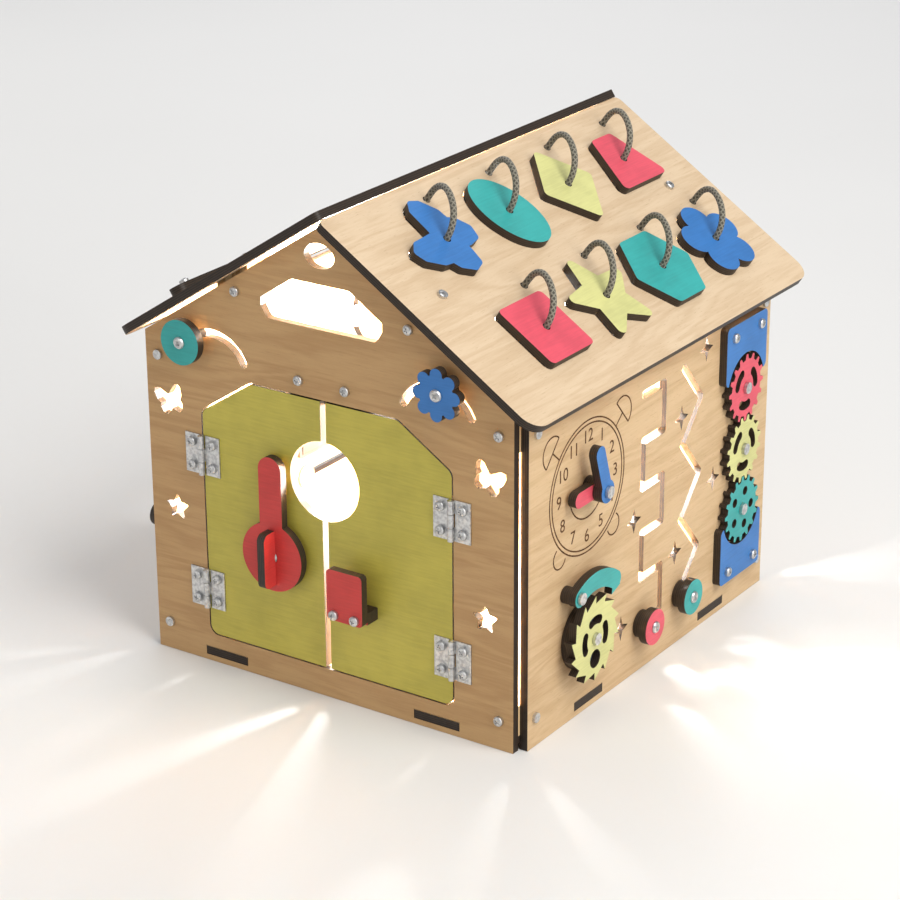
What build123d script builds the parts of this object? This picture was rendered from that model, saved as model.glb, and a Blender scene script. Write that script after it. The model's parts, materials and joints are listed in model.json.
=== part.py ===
"""An activity house: a laser-cut plywood house whose walls and roof carry small things to turn and slide.

Millimetres, +Z up. The origin is on the ground, in the middle of the floor. The front faces -Y.
"""

import os
from math import atan2, cos, degrees, hypot, pi, radians, sin, tan

from build123d import *

# Plywood shell
ply = 6.0
house_width = 300.0
wall_depth = 324.0
side_wall_height = 235.0
corner_gap = 2.0

# Roof
ridge_height = 340.5
wall_top_gap = 3.416
roof_length = 372.0
front_overhang = 8.0
eave_reach = 171.0
eave_corner_radius = 14.0
ridge_corner_radius = 5.0
gable_gap = 1.0
left_gable_gap = 3.4
ridge_clearance = 0.3
ridge_lap = 0.9

# Floor and its tabs
floor_height = 4.5
tab_width = 36.0
tab_clearance = 0.4
front_tab_spread = 89.0
side_tab_spread = 85.0

# Blocks inside the corners and under the roof
block_size = 22.0
top_block_height = 212.0
roof_block_width = 26.0
roof_block_depth = 28.0
roof_block_reach = 77.0
roof_block_drop = 22.113

# Screws
screw_radius = 1.75
screw_head_radius = 3.5
screw_head_height = 2.0
screw_bite = 12.0
screw_clearance = 0.1
gable_screw_drop = 13.693
gable_screw_reach = 70.0
roof_screw_inset = 21.6
back_roof_screw_inset = 15.0

# Front wall: doors
door_width = 207.0
door_bottom = 21.0
door_head_drop = 62.624
door_chamfer_width = 43.0
door_chamfer_height = 28.0
door_corner_radius = 8.0
door_gap = 1.2
meeting_gap = 4.5
door_window_radius = 28.5
door_window_drop = 58.0
door_stop_width = 64.0
door_stop_height = 26.0
door_stop_lap = 5.0
door_stop_screw_spread = 19.0

# Front wall: windows, slots and cut-outs
gable_window_top_width = 47.0
gable_window_width = 98.0
gable_window_base_width = 88.0
gable_window_radius = 5.0
gable_oval_width = 24.0
arc_slot_spread = 91.5
arc_slot_radius = 29.0
arc_slot_start = 25.0
arc_slot_sweep = 130.0
slot_width = 6.2
butterfly_span = 24.0
butterfly_round = 0.9
butterfly_spread = 130.5
butterfly_level = 191.0
butterfly_tilt = 18.0
star_size = 8.5
star_notch = 4.25
star_round = 1.0
star_from_side = 22.0
left_star_level = 112.0
right_star_level = 92.0

# Hinges
hinge_height = 29.0
hinge_leaf_width = 12.0
hinge_leaf = 1.0
hinge_barrel_radius = 2.2
hinge_pin_radius = 1.1
hinge_pin_clearance = 0.05
hinge_stand_off = 2.4
hinge_leaf_start = 2.6
hinge_low_level = 56.5
hinge_high_drop = 61.0
hinge_joint_gap = 0.4
hinge_screw_spread = 8.5

# Latch and keeper on the doors
latch_place = (-39.0, 99.0)
latch_disc_radius = 25.0
latch_arm_length = 73.0
latch_arm_width = 19.0
latch_stand_off = 3.5
latch_boss_radius = 7.0
latch_rest_angle = 90.0
latch_grip_length = 40.0
latch_grip_height = 15.0
latch_grip_sink = 3.0
keeper_left = 13.0
keeper_width = 29.0
keeper_bottom = 70.0
keeper_height = 37.0
keeper_base_height = 8.5
keeper_depth = 12.0
keeper_corner_radius = 3.0
keeper_screw_spread = 8.5

# Knobs that slide in slots
knob_radius = 16.0
maze_knob_radius = 13.0
knob_foot_radius = 10.0
knob_gap = 0.4
cog_knob_radius = 13.5
cog_lobe_radius = 4.6
cog_lobes = 8
post_flange_radius = 8.5
post_flange = 2.5
post_radius = 2.7
post_bore_radius = 1.6
round_knob_angle = 129.0
cog_knob_angle = 75.0

# Right wall: clock
clock_from_front = 72.0
clock_level = 164.5
hand_width = 11.0
minute_hand_length = 31.0
hour_hand_length = 23.0
hand_ring_radius = 8.0
hand_spacer = 2.0
hand_gap = 0.4
minute_hand_angle = 108.0
hour_hand_angle = 180.0

# Right wall: maze slots
maze_from_front = 145.0
maze_low = 36.0
maze_row = 34.0
maze_run = 27.0
maze_rows = 6
zigzag_from_front = 199.0
zigzag_low = 38.0
zigzag_run = 25.0
zigzag_step = 28.3
zigzag_steps = 6
wall_star_radius = 9.5
wall_star_notch = 3.6
wall_star_shares = ((0.414, 0.498), (0.756, 0.468), (0.608, 0.732), (0.593, 0.306), (0.367, 0.179),
                    (0.71, 0.906))

# Right wall: gear train
gear_from_back = 45.0
gear_level = 123.0
gear_pitch_radius = 23.5
gear_addendum = 1.7
gear_dedendum = 2.2
gear_teeth = 16
gear_tip_width = 2.4
gear_root_width = 5.2
gear_window_radius = 13.5
gear_window_width = 6.5
gear_window_sweep = 46.0
gear_windows = 3
gear_hole_radius = 3.4
gear_hole_count = 5
wheel_gap = 0.4
end_plate_width = 59.0
end_plate_height = 44.0
end_plate_reach = 99.0
end_plate_clearance = 1.6
end_plate_radius = 4.0
end_plate_screw_spread = 19.0
end_plate_screw_inset = 9.0

# Right wall: ratchet
ratchet_from_front = 64.5
ratchet_level = 60.0
ratchet_radius = 31.0
ratchet_root_radius = 25.5
ratchet_teeth = 14
ratchet_turn = 12.0
ratchet_disc_radius = 24.0
ratchet_window_angles = (-23.0, 67.0, 157.0)
ratchet_finger_radius = 6.6
ratchet_finger_reach = 15.0
pawl_bar_radius = 42.0
pawl_bar_width = 13.0
pawl_start = 118.0
pawl_sweep = -66.0
pawl_claw_angle = 50.0
pawl_claw_reach = 0.8
pawl_claw_width = 6.0
pawl_boss_radius = 6.0

# Axle screws
axle_radius = 2.0
axle_head_radius = 4.2
axle_head_height = 2.2
axle_clearance = 0.1
axle_gap = 0.3
axle_nut_length = 3.0

# Left wall
track_from_front = 167.0
track_length = 70.0
track_level = 70.0
left_arc_from_front = 267.0
left_arc_level = 178.0
left_arc_radius = 32.0
left_arc_start = 290.0
left_arc_sweep = 140.0
spinner_from_front = 30.0
spinner_level = 89.0
spinner_radius = 13.0
spinner_petal_radius = 8.5
spinner_petals = 5
roof_slat_width = 14.0
roof_slat_thickness = 7.0
roof_slat_inset = 22.0
roof_slat_from_eave = 46.0

# Light inside the left wall
light_from_front = 172.0
light_level = 198.0
light_board_width = 42.0
light_board_height = 26.0
light_board_thickness = 1.6
light_lens_radius = 9.0
light_lens_height = 7.0
battery_box_width = 62.0
battery_box_height = 34.0
battery_box_depth = 16.0
battery_box_level = 112.0
battery_box_radius = 3.0
light_lead_diameter = 2.4

# Sorter pieces on the right roof
sorter_row_shares = (0.29115, 0.72175)
sorter_pitch = 75.3
sorter_centre = 184.8
sorter_row_shift = 2.8
sorter_hole_inset = 1.8
sorter_plug_clearance = 1.4
sorter_plug_depth = 5.0
sorter_shift = (-2.4, 1.2)
sorter_corner = 4.0
butterfly_piece_span = 61.0
butterfly_piece_turn = 45.0
oval_piece_length = 66.0
oval_piece_width = 47.0
oval_piece_tilt = 15.0
rhombus_piece_length = 66.0
rhombus_piece_width = 58.0
trapezoid_piece_base = 55.0
trapezoid_piece_top = 28.0
trapezoid_piece_height = 47.0
square_piece_side = 51.0
star_piece_radius = 35.0
star_piece_notch = 18.0
star_piece_turn = 93.0
hexagon_piece_radius = 34.0
flower_piece_radius = 19.0
flower_petal_radius = 13.0
flower_petals = 5
flower_turn = 90.0
cord_diameter = 4.5
cord_hole_clearance = 0.6
cord_heading = 55.0

# Bends of the cords: how much of the shorter run a bend takes up
bend_share = 0.45

# Corners of a butterfly's right half from head to tail: across and up, as shares of its span
butterfly_shares = ((0.0, 0.14), (0.13, 0.25), (0.32, 0.42), (0.45, 0.43), (0.5, 0.33), (0.46, 0.1),
                    (0.35, -0.03), (0.4, -0.16), (0.36, -0.33), (0.24, -0.39), (0.09, -0.29), (0.0, -0.2))

# Levels of the gable window's corners from its bottom up, and the oval's level and height, as shares of
# how far the gable rises above the side walls
gable_window_shares = (0.3062, 0.3828, 0.4402, 0.6029)
gable_oval_shares = (0.7895, 0.1646)

# Worked out from the sizes above
side_face = house_width / 2
side_out = side_face + ply
pitch = atan2(ridge_height - side_wall_height - wall_top_gap, side_out)
wall_end = wall_depth / 2
gable_inner = wall_end + corner_gap
gable_out = gable_inner + ply
floor_top = floor_height + ply
roof_rise = ply / cos(pitch)
roof_front = -gable_out - front_overhang
roof_middle = roof_front + roof_length / 2
ridge_meet = roof_rise / (2 * tan(pitch))
slope_top = ridge_meet / cos(pitch) + ridge_clearance
slope_end = eave_reach / cos(pitch)
left_slope_top = (ridge_meet + ridge_lap - ply * sin(pitch)) / cos(pitch)
gable_apex = ridge_height - gable_gap
gable_eave = gable_apex - side_face * tan(pitch)
gable_rise = gable_apex - side_wall_height
left_step = left_gable_gap - gable_gap
gable_screw_height = ridge_height - gable_screw_reach * tan(pitch) - gable_screw_drop
roof_block_height = ridge_height - roof_block_reach * tan(pitch) - roof_block_drop
door_top = ridge_height - arc_slot_spread * tan(pitch) - door_head_drop
door_window_height = door_top - door_window_drop
hinge_high_level = door_top - hinge_high_drop
arc_slot_level = door_top
door_axis = door_width / 2 - door_gap / 2
screw_hole = screw_radius + screw_clearance
axle_hole = axle_radius + axle_clearance
bolt_face = knob_gap + 2 * ply

# Faces that carry things: outer faces of the walls and top faces of the roof
front_face = Plane(origin=(0, -gable_out, 0), x_dir=(1, 0, 0), z_dir=(0, -1, 0))
back_face = Plane(origin=(0, gable_out, 0), x_dir=(-1, 0, 0), z_dir=(0, 1, 0))
right_face = Plane(origin=(side_out, 0, 0), x_dir=(0, 1, 0), z_dir=(1, 0, 0))
left_face = Plane(origin=(-side_out, 0, 0), x_dir=(0, -1, 0), z_dir=(-1, 0, 0))
roof_apex = (0, 0, ridge_height + roof_rise)
right_slope = Plane(origin=roof_apex, x_dir=(0, 1, 0), z_dir=(sin(pitch), 0, cos(pitch)))
left_slope = Plane(origin=roof_apex, x_dir=(0, -1, 0), z_dir=(-sin(pitch), 0, cos(pitch)))

# Places on the faces
corner_screw_levels = (floor_top + block_size / 2, top_block_height + block_size / 2)
front_corner_screws = [(side * (side_face - block_size / 2), level)
                       for side in (-1, 1) for level in corner_screw_levels]
gable_screws = [(side * gable_screw_reach, gable_screw_height) for side in (-1, 1)]
stop_screw_level = door_top + (door_stop_height - door_stop_lap) / 2
stop_screws = [(side * door_stop_screw_spread, stop_screw_level) for side in (-1, 1)]
side_corner_screws = [(side * (gable_inner - block_size / 2), level)
                      for side in (-1, 1) for level in corner_screw_levels]
roof_screws = [(place, -roof_block_reach / cos(pitch))
               for place in (roof_screw_inset - gable_inner, gable_inner - back_roof_screw_inset)]
clock_place = (clock_from_front - wall_end, clock_level)
gear_line = wall_end - gear_from_back
gear_places = [(gear_line, gear_level + step * 2 * gear_pitch_radius) for step in (1, 0, -1)]
ratchet_place = (ratchet_from_front - wall_end, ratchet_level)
pawl_place = (ratchet_place[0] + pawl_bar_radius * cos(radians(pawl_start)),
              ratchet_place[1] + pawl_bar_radius * sin(radians(pawl_start)))
spinner_place = (wall_end - spinner_from_front, spinner_level)
round_knob_place = (-arc_slot_spread + arc_slot_radius * cos(radians(round_knob_angle)),
                    arc_slot_level + arc_slot_radius * sin(radians(round_knob_angle)))
cog_knob_place = (arc_slot_spread + arc_slot_radius * cos(radians(cog_knob_angle)),
                  arc_slot_level + arc_slot_radius * sin(radians(cog_knob_angle)))
track_end = wall_end - track_from_front
left_arc_place = (wall_end - left_arc_from_front, left_arc_level)
left_arc_middle = radians(left_arc_start + left_arc_sweep / 2)
arc_knob_place = (left_arc_place[0] + left_arc_radius * cos(left_arc_middle),
                  left_arc_place[1] + left_arc_radius * sin(left_arc_middle))
end_plate_screws = [(gear_line + side * end_plate_screw_spread,
                     gear_level + end * (end_plate_reach - end_plate_screw_inset))
                    for side in (-1, 1) for end in (-1, 1)]

# The square maze runs down row by row, and the zigzag slants down step by step
maze_left = maze_from_front - wall_end
maze_points = []
for row in range(maze_rows):
    level = maze_low + (maze_rows - 1 - row) * maze_row
    ends = [(maze_left, level), (maze_left + maze_run, level)]
    maze_points += ends if row % 2 == 0 else ends[::-1]
zigzag_left = zigzag_from_front - wall_end
zigzag_points = [(zigzag_left + zigzag_run * (step % 2), zigzag_low + zigzag_step * step)
                 for step in range(zigzag_steps + 1)]


def star_points(tips, tip_radius, notch_radius, turn=0.0):
    """Corners of a star, tips and notches in turn."""
    corners = []
    for corner in range(2 * tips):
        radius = notch_radius if corner % 2 else tip_radius
        angle = radians(turn) + corner * pi / tips
        corners.append((radius * cos(angle), radius * sin(angle)))
    return corners


def saw_points(teeth, tip_radius, root_radius, turn):
    """Corners of a saw-toothed wheel: each tooth rises straight out and slopes back."""
    corners = []
    for tooth in range(teeth):
        angle = radians(turn) + tooth * 2 * pi / teeth
        corners.append((root_radius * cos(angle), root_radius * sin(angle)))
        corners.append((tip_radius * cos(angle), tip_radius * sin(angle)))
    return corners


def butterfly_points(span):
    """Corners of a butterfly: its right half from head to tail, and back up its left half."""
    right = [(across * span, up * span) for across, up in butterfly_shares]
    left = [(-across, up) for across, up in right[-2:0:-1]]
    return right + left


def petals(count, ring_radius, petal_radius, turn=0.0, grow=0.0):
    """Outline of a flower: round petals on a ring, filled in the middle."""
    with BuildSketch() as outline:
        Circle(ring_radius + grow)
        with PolarLocations(ring_radius, count, turn):
            Circle(petal_radius + grow)
    return outline.sketch


def rounded(corners, corner_radius, grow=0.0):
    """Outline of a polygon drawn on the centres of its corner rounds."""
    with BuildSketch() as outline:
        Polygon(*corners, align=None)
        offset(amount=corner_radius + grow, kind=Kind.ARC)
    return outline.sketch


def oval(length, width, tilt, grow=0.0):
    """Outline of a tilted oval."""
    with BuildSketch() as outline:
        Ellipse(length / 2 + grow, width / 2 + grow, rotation=tilt)
    return outline.sketch


def slot_run(points):
    """Outline of a slot of one width along straight runs."""
    with BuildSketch() as outline:
        for (x0, y0), (x1, y1) in zip(points, points[1:]):
            with Locations(((x0 + x1) / 2, (y0 + y1) / 2)):
                run_angle = degrees(atan2(y1 - y0, x1 - x0))
                SlotCenterToCenter(hypot(x1 - x0, y1 - y0), slot_width, rotation=run_angle)
    return outline.sketch


def slot_arc(centre, radius, start, sweep, width):
    """Outline of a slot that runs along an arc."""
    with BuildLine() as middle:
        CenterArc(centre, radius, start, sweep)
    with BuildSketch() as outline:
        SlotArc(middle.line.edge(), width)
    return outline.sketch


def cog():
    """Outline of a knob with lobes like a cog."""
    return petals(cog_lobes, cog_knob_radius, cog_lobe_radius)


def disc(radius):
    """Outline of a plain disc."""
    with BuildSketch() as outline:
        Circle(radius)
    return outline.sketch


def gable(side):
    """Outline of a gable wall that stands on its bottom edge, with the wider roof gap on one side."""
    with BuildSketch() as outline:
        Polygon((-side * side_face, 0), (side * side_face, 0), (side * side_face, gable_eave - left_step),
                (0, gable_apex - left_step), (0, gable_apex), (-side * side_face, gable_eave), align=None)
    return outline.sketch


def door_opening(inset=0.0):
    """Outline of the door opening, with cut-off top corners."""
    half = door_width / 2
    with BuildSketch() as outline:
        Polygon((-half, door_bottom), (half, door_bottom), (half, door_top - door_chamfer_height),
                (half - door_chamfer_width, door_top), (door_chamfer_width - half, door_top),
                (-half, door_top - door_chamfer_height), align=None)
        fillet(outline.vertices(), radius=door_corner_radius)
        if inset:
            offset(amount=-inset, kind=Kind.ARC)
    return outline.sketch


def gable_window():
    """Outline of the gable window."""
    widths = (gable_window_base_width, gable_window_width, gable_window_width, gable_window_top_width)
    levels = [side_wall_height + share * gable_rise for share in gable_window_shares]
    right = [(width / 2, level) for width, level in zip(widths, levels)]
    left = [(-across, level) for across, level in right[::-1]]
    with BuildSketch() as outline:
        Polygon(*right, *left, align=None)
        fillet(outline.vertices().group_by(Axis.Y)[0] + outline.vertices().group_by(Axis.Y)[-1],
               radius=gable_window_radius)
    return outline.sketch


def tab_slots(spread):
    """Outline of the two slots that the floor's tabs pass through."""
    with BuildSketch() as outline:
        with Locations((-spread, floor_height + ply / 2), (spread, floor_height + ply / 2)):
            Rectangle(tab_width + 2 * tab_clearance, ply + 2 * tab_clearance)
    return outline.sketch


def hole_pattern(places, radius):
    """Outline of like round holes."""
    with BuildSketch() as outline:
        with Locations(*places):
            Circle(radius)
    return outline.sketch


def star_pattern(places):
    """Outline of the small stars on a side wall."""
    with BuildSketch() as outline:
        with Locations(*places):
            Polygon(*star_points(4, wall_star_radius, wall_star_notch, 90), align=None)
    return outline.sketch


def panel(face, outline, cuts):
    """Add a plywood panel behind a face, with cut-outs through it."""
    with BuildSketch(face) as profile:
        add(outline)
        for cut in cuts:
            add(cut, mode=Mode.SUBTRACT)
    extrude(profile.sketch, amount=-ply)


def screws(face, places, length, radius=screw_radius, head_radius=screw_head_radius,
           head=screw_head_height):
    """Add pan-head screws whose heads sit on a face."""
    with BuildSketch(face) as profile:
        with Locations(*places):
            Circle(head_radius)
    extrude(profile.sketch, amount=head)
    with BuildSketch(face) as profile:
        with Locations(*places):
            Circle(radius)
    extrude(profile.sketch, amount=-length)


def bore(face, places, radius, depth):
    """Cut round holes down from a face."""
    with BuildSketch(face) as profile:
        with Locations(*places):
            Circle(radius)
    extrude(profile.sketch, amount=-depth, mode=Mode.SUBTRACT)


def save(piece, name):
    """Label a finished piece and write it."""
    piece.part.label = name
    export_step(piece.part, f"parts/{name}.step")


os.makedirs("parts", exist_ok=True)

# Front wall
butterfly_cut = rounded(butterfly_points(butterfly_span - 2 * butterfly_round), butterfly_round)
oval_level = side_wall_height + gable_oval_shares[0] * gable_rise
oval_height = gable_oval_shares[1] * gable_rise
front_star = rounded(star_points(5, star_size, star_notch, 90), star_round)
front_cuts = [
    door_opening(), gable_window(),
    oval(gable_oval_width, oval_height, 0).moved(Pos(0, oval_level)),
    tab_slots(front_tab_spread), hole_pattern(front_corner_screws + gable_screws + stop_screws, screw_hole),
    butterfly_cut.moved(Location((-butterfly_spread, butterfly_level), butterfly_tilt)),
    butterfly_cut.moved(Location((butterfly_spread, butterfly_level), -butterfly_tilt)),
    front_star.moved(Pos(star_from_side - side_face, left_star_level)),
    front_star.moved(Pos(side_face - star_from_side, right_star_level)),
] + [slot_arc((side * arc_slot_spread, arc_slot_level), arc_slot_radius, arc_slot_start, arc_slot_sweep,
              slot_width) for side in (-1, 1)]
hinge_levels = (hinge_low_level, hinge_high_level)
frame_leaf_middle = hinge_leaf_start + hinge_leaf_width / 2
hinge_wall_screws = [(side * (door_axis + frame_leaf_middle), level + up * hinge_screw_spread)
                     for side in (-1, 1) for level in hinge_levels for up in (-1, 1)]
front_cuts.append(hole_pattern(hinge_wall_screws, screw_hole))

with BuildPart() as front_wall:
    panel(front_face, gable(-1), front_cuts)
save(front_wall, "front_wall")

with BuildPart() as back_wall:
    panel(back_face, gable(1), [tab_slots(front_tab_spread),
                                hole_pattern(front_corner_screws + gable_screws, screw_hole)])
save(back_wall, "back_wall")

# Side walls
with BuildSketch() as side_outline:
    with Locations((0, side_wall_height / 2)):
        Rectangle(wall_depth, side_wall_height)
wall_star_places = [(across * wall_depth - wall_end, up * side_wall_height)
                    for across, up in wall_star_shares]
right_axles = [clock_place, *gear_places, ratchet_place, pawl_place]
right_cuts = [tab_slots(side_tab_spread), hole_pattern(side_corner_screws + end_plate_screws, screw_hole),
              hole_pattern(right_axles, axle_hole), slot_run(maze_points), slot_run(zigzag_points),
              star_pattern(wall_star_places)]
with BuildPart() as right_wall:
    panel(right_face, side_outline.sketch, right_cuts)
save(right_wall, "right_wall")

track_points = [(track_end, track_level), (track_end - track_length, track_level)]
left_arc_slot = slot_arc(left_arc_place, left_arc_radius, left_arc_start, left_arc_sweep, slot_width)
left_cuts = [tab_slots(side_tab_spread), hole_pattern(side_corner_screws, screw_hole),
             hole_pattern([spinner_place], axle_hole), slot_run(track_points), left_arc_slot]
with BuildPart() as left_wall:
    panel(left_face, side_outline.sketch, left_cuts)
save(left_wall, "left_wall")

# Floor with its tabs
with BuildPart() as floor_panel:
    with BuildSketch(Plane.XY.offset(floor_height)):
        Rectangle(house_width, 2 * gable_inner)
        with Locations((-front_tab_spread, 0), (front_tab_spread, 0)):
            Rectangle(tab_width, 2 * gable_out)
        with Locations((0, -side_tab_spread), (0, side_tab_spread)):
            Rectangle(2 * side_out, tab_width)
    extrude(amount=ply)
save(floor_panel, "floor_panel")

# Sorter pieces: outlines on the right roof, drawn larger or smaller by a growth
half_base = trapezoid_piece_base / 2 - sorter_corner
half_top = trapezoid_piece_top / 2 - sorter_corner
half_height = trapezoid_piece_height / 2 - sorter_corner
half_side = square_piece_side / 2 - sorter_corner
rhombus_half_length = rhombus_piece_length / 2 - sorter_corner
rhombus_half_width = rhombus_piece_width / 2 - sorter_corner
trapezoid_corners = [(-half_base, -half_height), (half_base, -half_height), (half_top, half_height),
                     (-half_top, half_height)]
rhombus_corners = [(0, -rhombus_half_length), (rhombus_half_width, 0), (0, rhombus_half_length),
                   (-rhombus_half_width, 0)]
square_corners = [(-half_side, -half_side), (half_side, -half_side), (half_side, half_side),
                  (-half_side, half_side)]
star_corners = star_points(5, star_piece_radius - sorter_corner, star_piece_notch - sorter_corner,
                           star_piece_turn)
hexagon_corners = star_points(3, hexagon_piece_radius - sorter_corner, hexagon_piece_radius - sorter_corner)
butterfly_corners = butterfly_points(butterfly_piece_span - 2 * sorter_corner)
butterfly_turn = Rotation(0, 0, butterfly_piece_turn)

sorter_outlines = {
    "piece_butterfly": lambda grow: rounded(butterfly_corners, sorter_corner, grow).moved(butterfly_turn),
    "piece_oval": lambda grow: oval(oval_piece_width, oval_piece_length, oval_piece_tilt, grow),
    "piece_rhombus": lambda grow: rounded(rhombus_corners, sorter_corner, grow),
    "piece_trapezoid": lambda grow: rounded(trapezoid_corners, sorter_corner, grow),
    "piece_square": lambda grow: rounded(square_corners, sorter_corner, grow),
    "piece_star": lambda grow: rounded(star_corners, sorter_corner, grow),
    "piece_hexagon": lambda grow: rounded(hexagon_corners, sorter_corner, grow),
    "piece_flower": lambda grow: petals(flower_petals, flower_piece_radius, flower_petal_radius, flower_turn,
                                        grow),
}
sorter_columns = len(sorter_outlines) // len(sorter_row_shares)
sorter_start = sorter_centre - gable_out - (sorter_columns - 1) / 2 * sorter_pitch
sorter_places = {}
for number, name in enumerate(sorter_outlines):
    row, column = divmod(number, sorter_columns)
    shift = sorter_row_shift if row else -sorter_row_shift
    sorter_places[name] = (sorter_start + column * sorter_pitch + shift,
                           -sorter_row_shares[row] * slope_end)

# Cord route from the middle of a piece, over to its anchor hole: along the roof, and above its top face
cord_route = [(0.0, -3.0), (0.0, 5.5), (1.8, 14.0), (8.0, 20.6), (17.0, 23.6), (27.0, 23.6), (36.0, 20.6),
              (42.2, 14.0), (44.0, 5.5), (44.0, -3.0)]
heading = radians(cord_heading)
cord_span = cord_route[-1][0]
anchor_step = (cord_span * cos(heading), cord_span * sin(heading))
anchor_places = [(x + anchor_step[0], y + anchor_step[1]) for x, y in sorter_places.values()]
cord_hole = cord_diameter / 2 + cord_hole_clearance

# Roof panels
with BuildSketch() as right_roof_outline:
    with Locations((roof_middle, -(slope_top + slope_end) / 2)):
        Rectangle(roof_length, slope_end - slope_top)
    fillet(right_roof_outline.vertices().group_by(Axis.Y)[0], radius=eave_corner_radius)
    fillet(right_roof_outline.vertices().group_by(Axis.Y)[-1], radius=ridge_corner_radius)
sorter_holes = [sorter_outlines[name](-sorter_hole_inset).moved(Pos(x + sorter_shift[0], y + sorter_shift[1]))
                for name, (x, y) in sorter_places.items()]
with BuildPart() as right_roof:
    panel(right_slope, right_roof_outline.sketch,
          sorter_holes + [hole_pattern(anchor_places, cord_hole), hole_pattern(roof_screws, screw_hole)])
save(right_roof, "right_roof")

with BuildSketch() as left_roof_outline:
    with Locations((-roof_middle, (left_slope_top - slope_end) / 2)):
        Rectangle(roof_length, slope_end + left_slope_top)
    fillet(left_roof_outline.vertices().group_by(Axis.Y)[0], radius=eave_corner_radius)
    fillet(left_roof_outline.vertices().group_by(Axis.Y)[-1], radius=ridge_corner_radius)
roof_slat_line = roof_slat_from_eave - slope_end
roof_slat_length = roof_length - 2 * roof_slat_inset
slat_screw_spread = roof_slat_length / 2 - roof_slat_width
slat_screws = [(-roof_middle + side * slat_screw_spread, roof_slat_line) for side in (-1, 1)]
with BuildPart() as left_roof:
    panel(left_slope, left_roof_outline.sketch, [hole_pattern(roof_screws + slat_screws, screw_hole)])
save(left_roof, "left_roof")

with BuildPart() as roof_slat:
    with BuildSketch(left_slope):
        with Locations((-roof_middle, roof_slat_line)):
            SlotOverall(roof_slat_length, roof_slat_width)
        add(hole_pattern(slat_screws, screw_hole), mode=Mode.SUBTRACT)
    extrude(amount=roof_slat_thickness)
save(roof_slat, "roof_slat")

# Blocks that the walls and the roof are screwed to
with BuildPart() as corner_blocks:
    for level in (floor_top, top_block_height):
        with BuildSketch(Plane.XY.offset(level)):
            with GridLocations(house_width - block_size, 2 * gable_inner - block_size, 2, 2):
                Rectangle(block_size, block_size)
        extrude(amount=block_size)
    for face, places in ((front_face, front_corner_screws), (back_face, front_corner_screws),
                         (right_face, side_corner_screws), (left_face, side_corner_screws)):
        bore(face, places, screw_hole, ply + screw_bite)
save(corner_blocks, "corner_blocks")

block_inner = roof_block_reach - roof_block_width / 2
block_outer = roof_block_reach + roof_block_width / 2
with BuildPart() as roof_blocks:
    for face in (front_face, back_face):
        with BuildSketch(face.offset(-ply)):
            for side in (-1, 1):
                Polygon((side * block_inner, roof_block_height), (side * block_outer, roof_block_height),
                        (side * block_outer, ridge_height - block_outer * tan(pitch)),
                        (side * block_inner, ridge_height - block_inner * tan(pitch)), align=None)
        extrude(amount=-roof_block_depth)
        bore(face, gable_screws, screw_hole, ply + screw_bite)
    for face in (right_slope, left_slope):
        bore(face, roof_screws, screw_hole, ply + screw_bite)
save(roof_blocks, "roof_blocks")

with BuildPart() as door_stop:
    with BuildSketch(front_face.offset(-ply)):
        with Locations((0, door_top - door_stop_lap + door_stop_height / 2)):
            Rectangle(door_stop_width, door_stop_height)
    extrude(amount=-ply)
    bore(front_face, stop_screws, screw_hole, 2 * ply)
save(door_stop, "door_stop")

# Fixed screws of the shell, the hinges' wall leaves and the gear plates
with BuildPart() as wall_screws:
    screws(front_face, front_corner_screws + gable_screws, ply + screw_bite)
    screws(front_face, stop_screws, 2 * ply)
    screws(front_face.offset(hinge_leaf), hinge_wall_screws, hinge_leaf + ply)
    screws(back_face, front_corner_screws + gable_screws, ply + screw_bite)
    screws(right_face, side_corner_screws, ply + screw_bite)
    screws(right_face.offset(ply), end_plate_screws, 2 * ply)
    screws(left_face, side_corner_screws, ply + screw_bite)
    screws(right_slope, roof_screws, ply + screw_bite)
    screws(left_slope, roof_screws, ply + screw_bite)
    screws(left_slope.offset(roof_slat_thickness), slat_screws, roof_slat_thickness + ply)
save(wall_screws, "wall_screws")

# Doors
with BuildSketch() as door_window:
    with Locations((0, door_window_height)):
        Circle(door_window_radius)
door_sheet = door_opening(door_gap)
door_leaf_screws = {side: [(side * (door_axis - frame_leaf_middle), level + up * hinge_screw_spread)
                           for level in hinge_levels for up in (-1, 1)] for side in (-1, 1)}
keeper_middle = keeper_left + keeper_width / 2
keeper_screws = [(keeper_middle + side * keeper_screw_spread, keeper_bottom + keeper_base_height / 2)
                 for side in (-1, 1)]


def door_leaf(side, fittings):
    """Add one door leaf, on the left (-1) or the right (1) of the meeting gap."""
    with BuildSketch(front_face) as profile:
        add(door_sheet)
        with Locations((side * (meeting_gap / 2 - door_width / 2), (door_bottom + door_top) / 2)):
            Rectangle(door_width, door_top, mode=Mode.SUBTRACT)
        add(door_window.sketch, mode=Mode.SUBTRACT)
        add(fittings, mode=Mode.SUBTRACT)
    extrude(profile.sketch, amount=-ply)


with BuildPart() as left_door:
    left_fittings = hole_pattern(door_leaf_screws[-1] + [latch_place], screw_hole)
    door_leaf(-1, left_fittings)
save(left_door, "left_door")

with BuildPart() as right_door:
    right_fittings = hole_pattern(door_leaf_screws[1] + keeper_screws, screw_hole)
    door_leaf(1, right_fittings)
save(right_door, "right_door")

# Hinges: three knuckles on a pin, the outer two on the wall and the middle one on the door
knuckle = hinge_height / 3
hinge_line = -gable_out - hinge_stand_off


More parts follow.
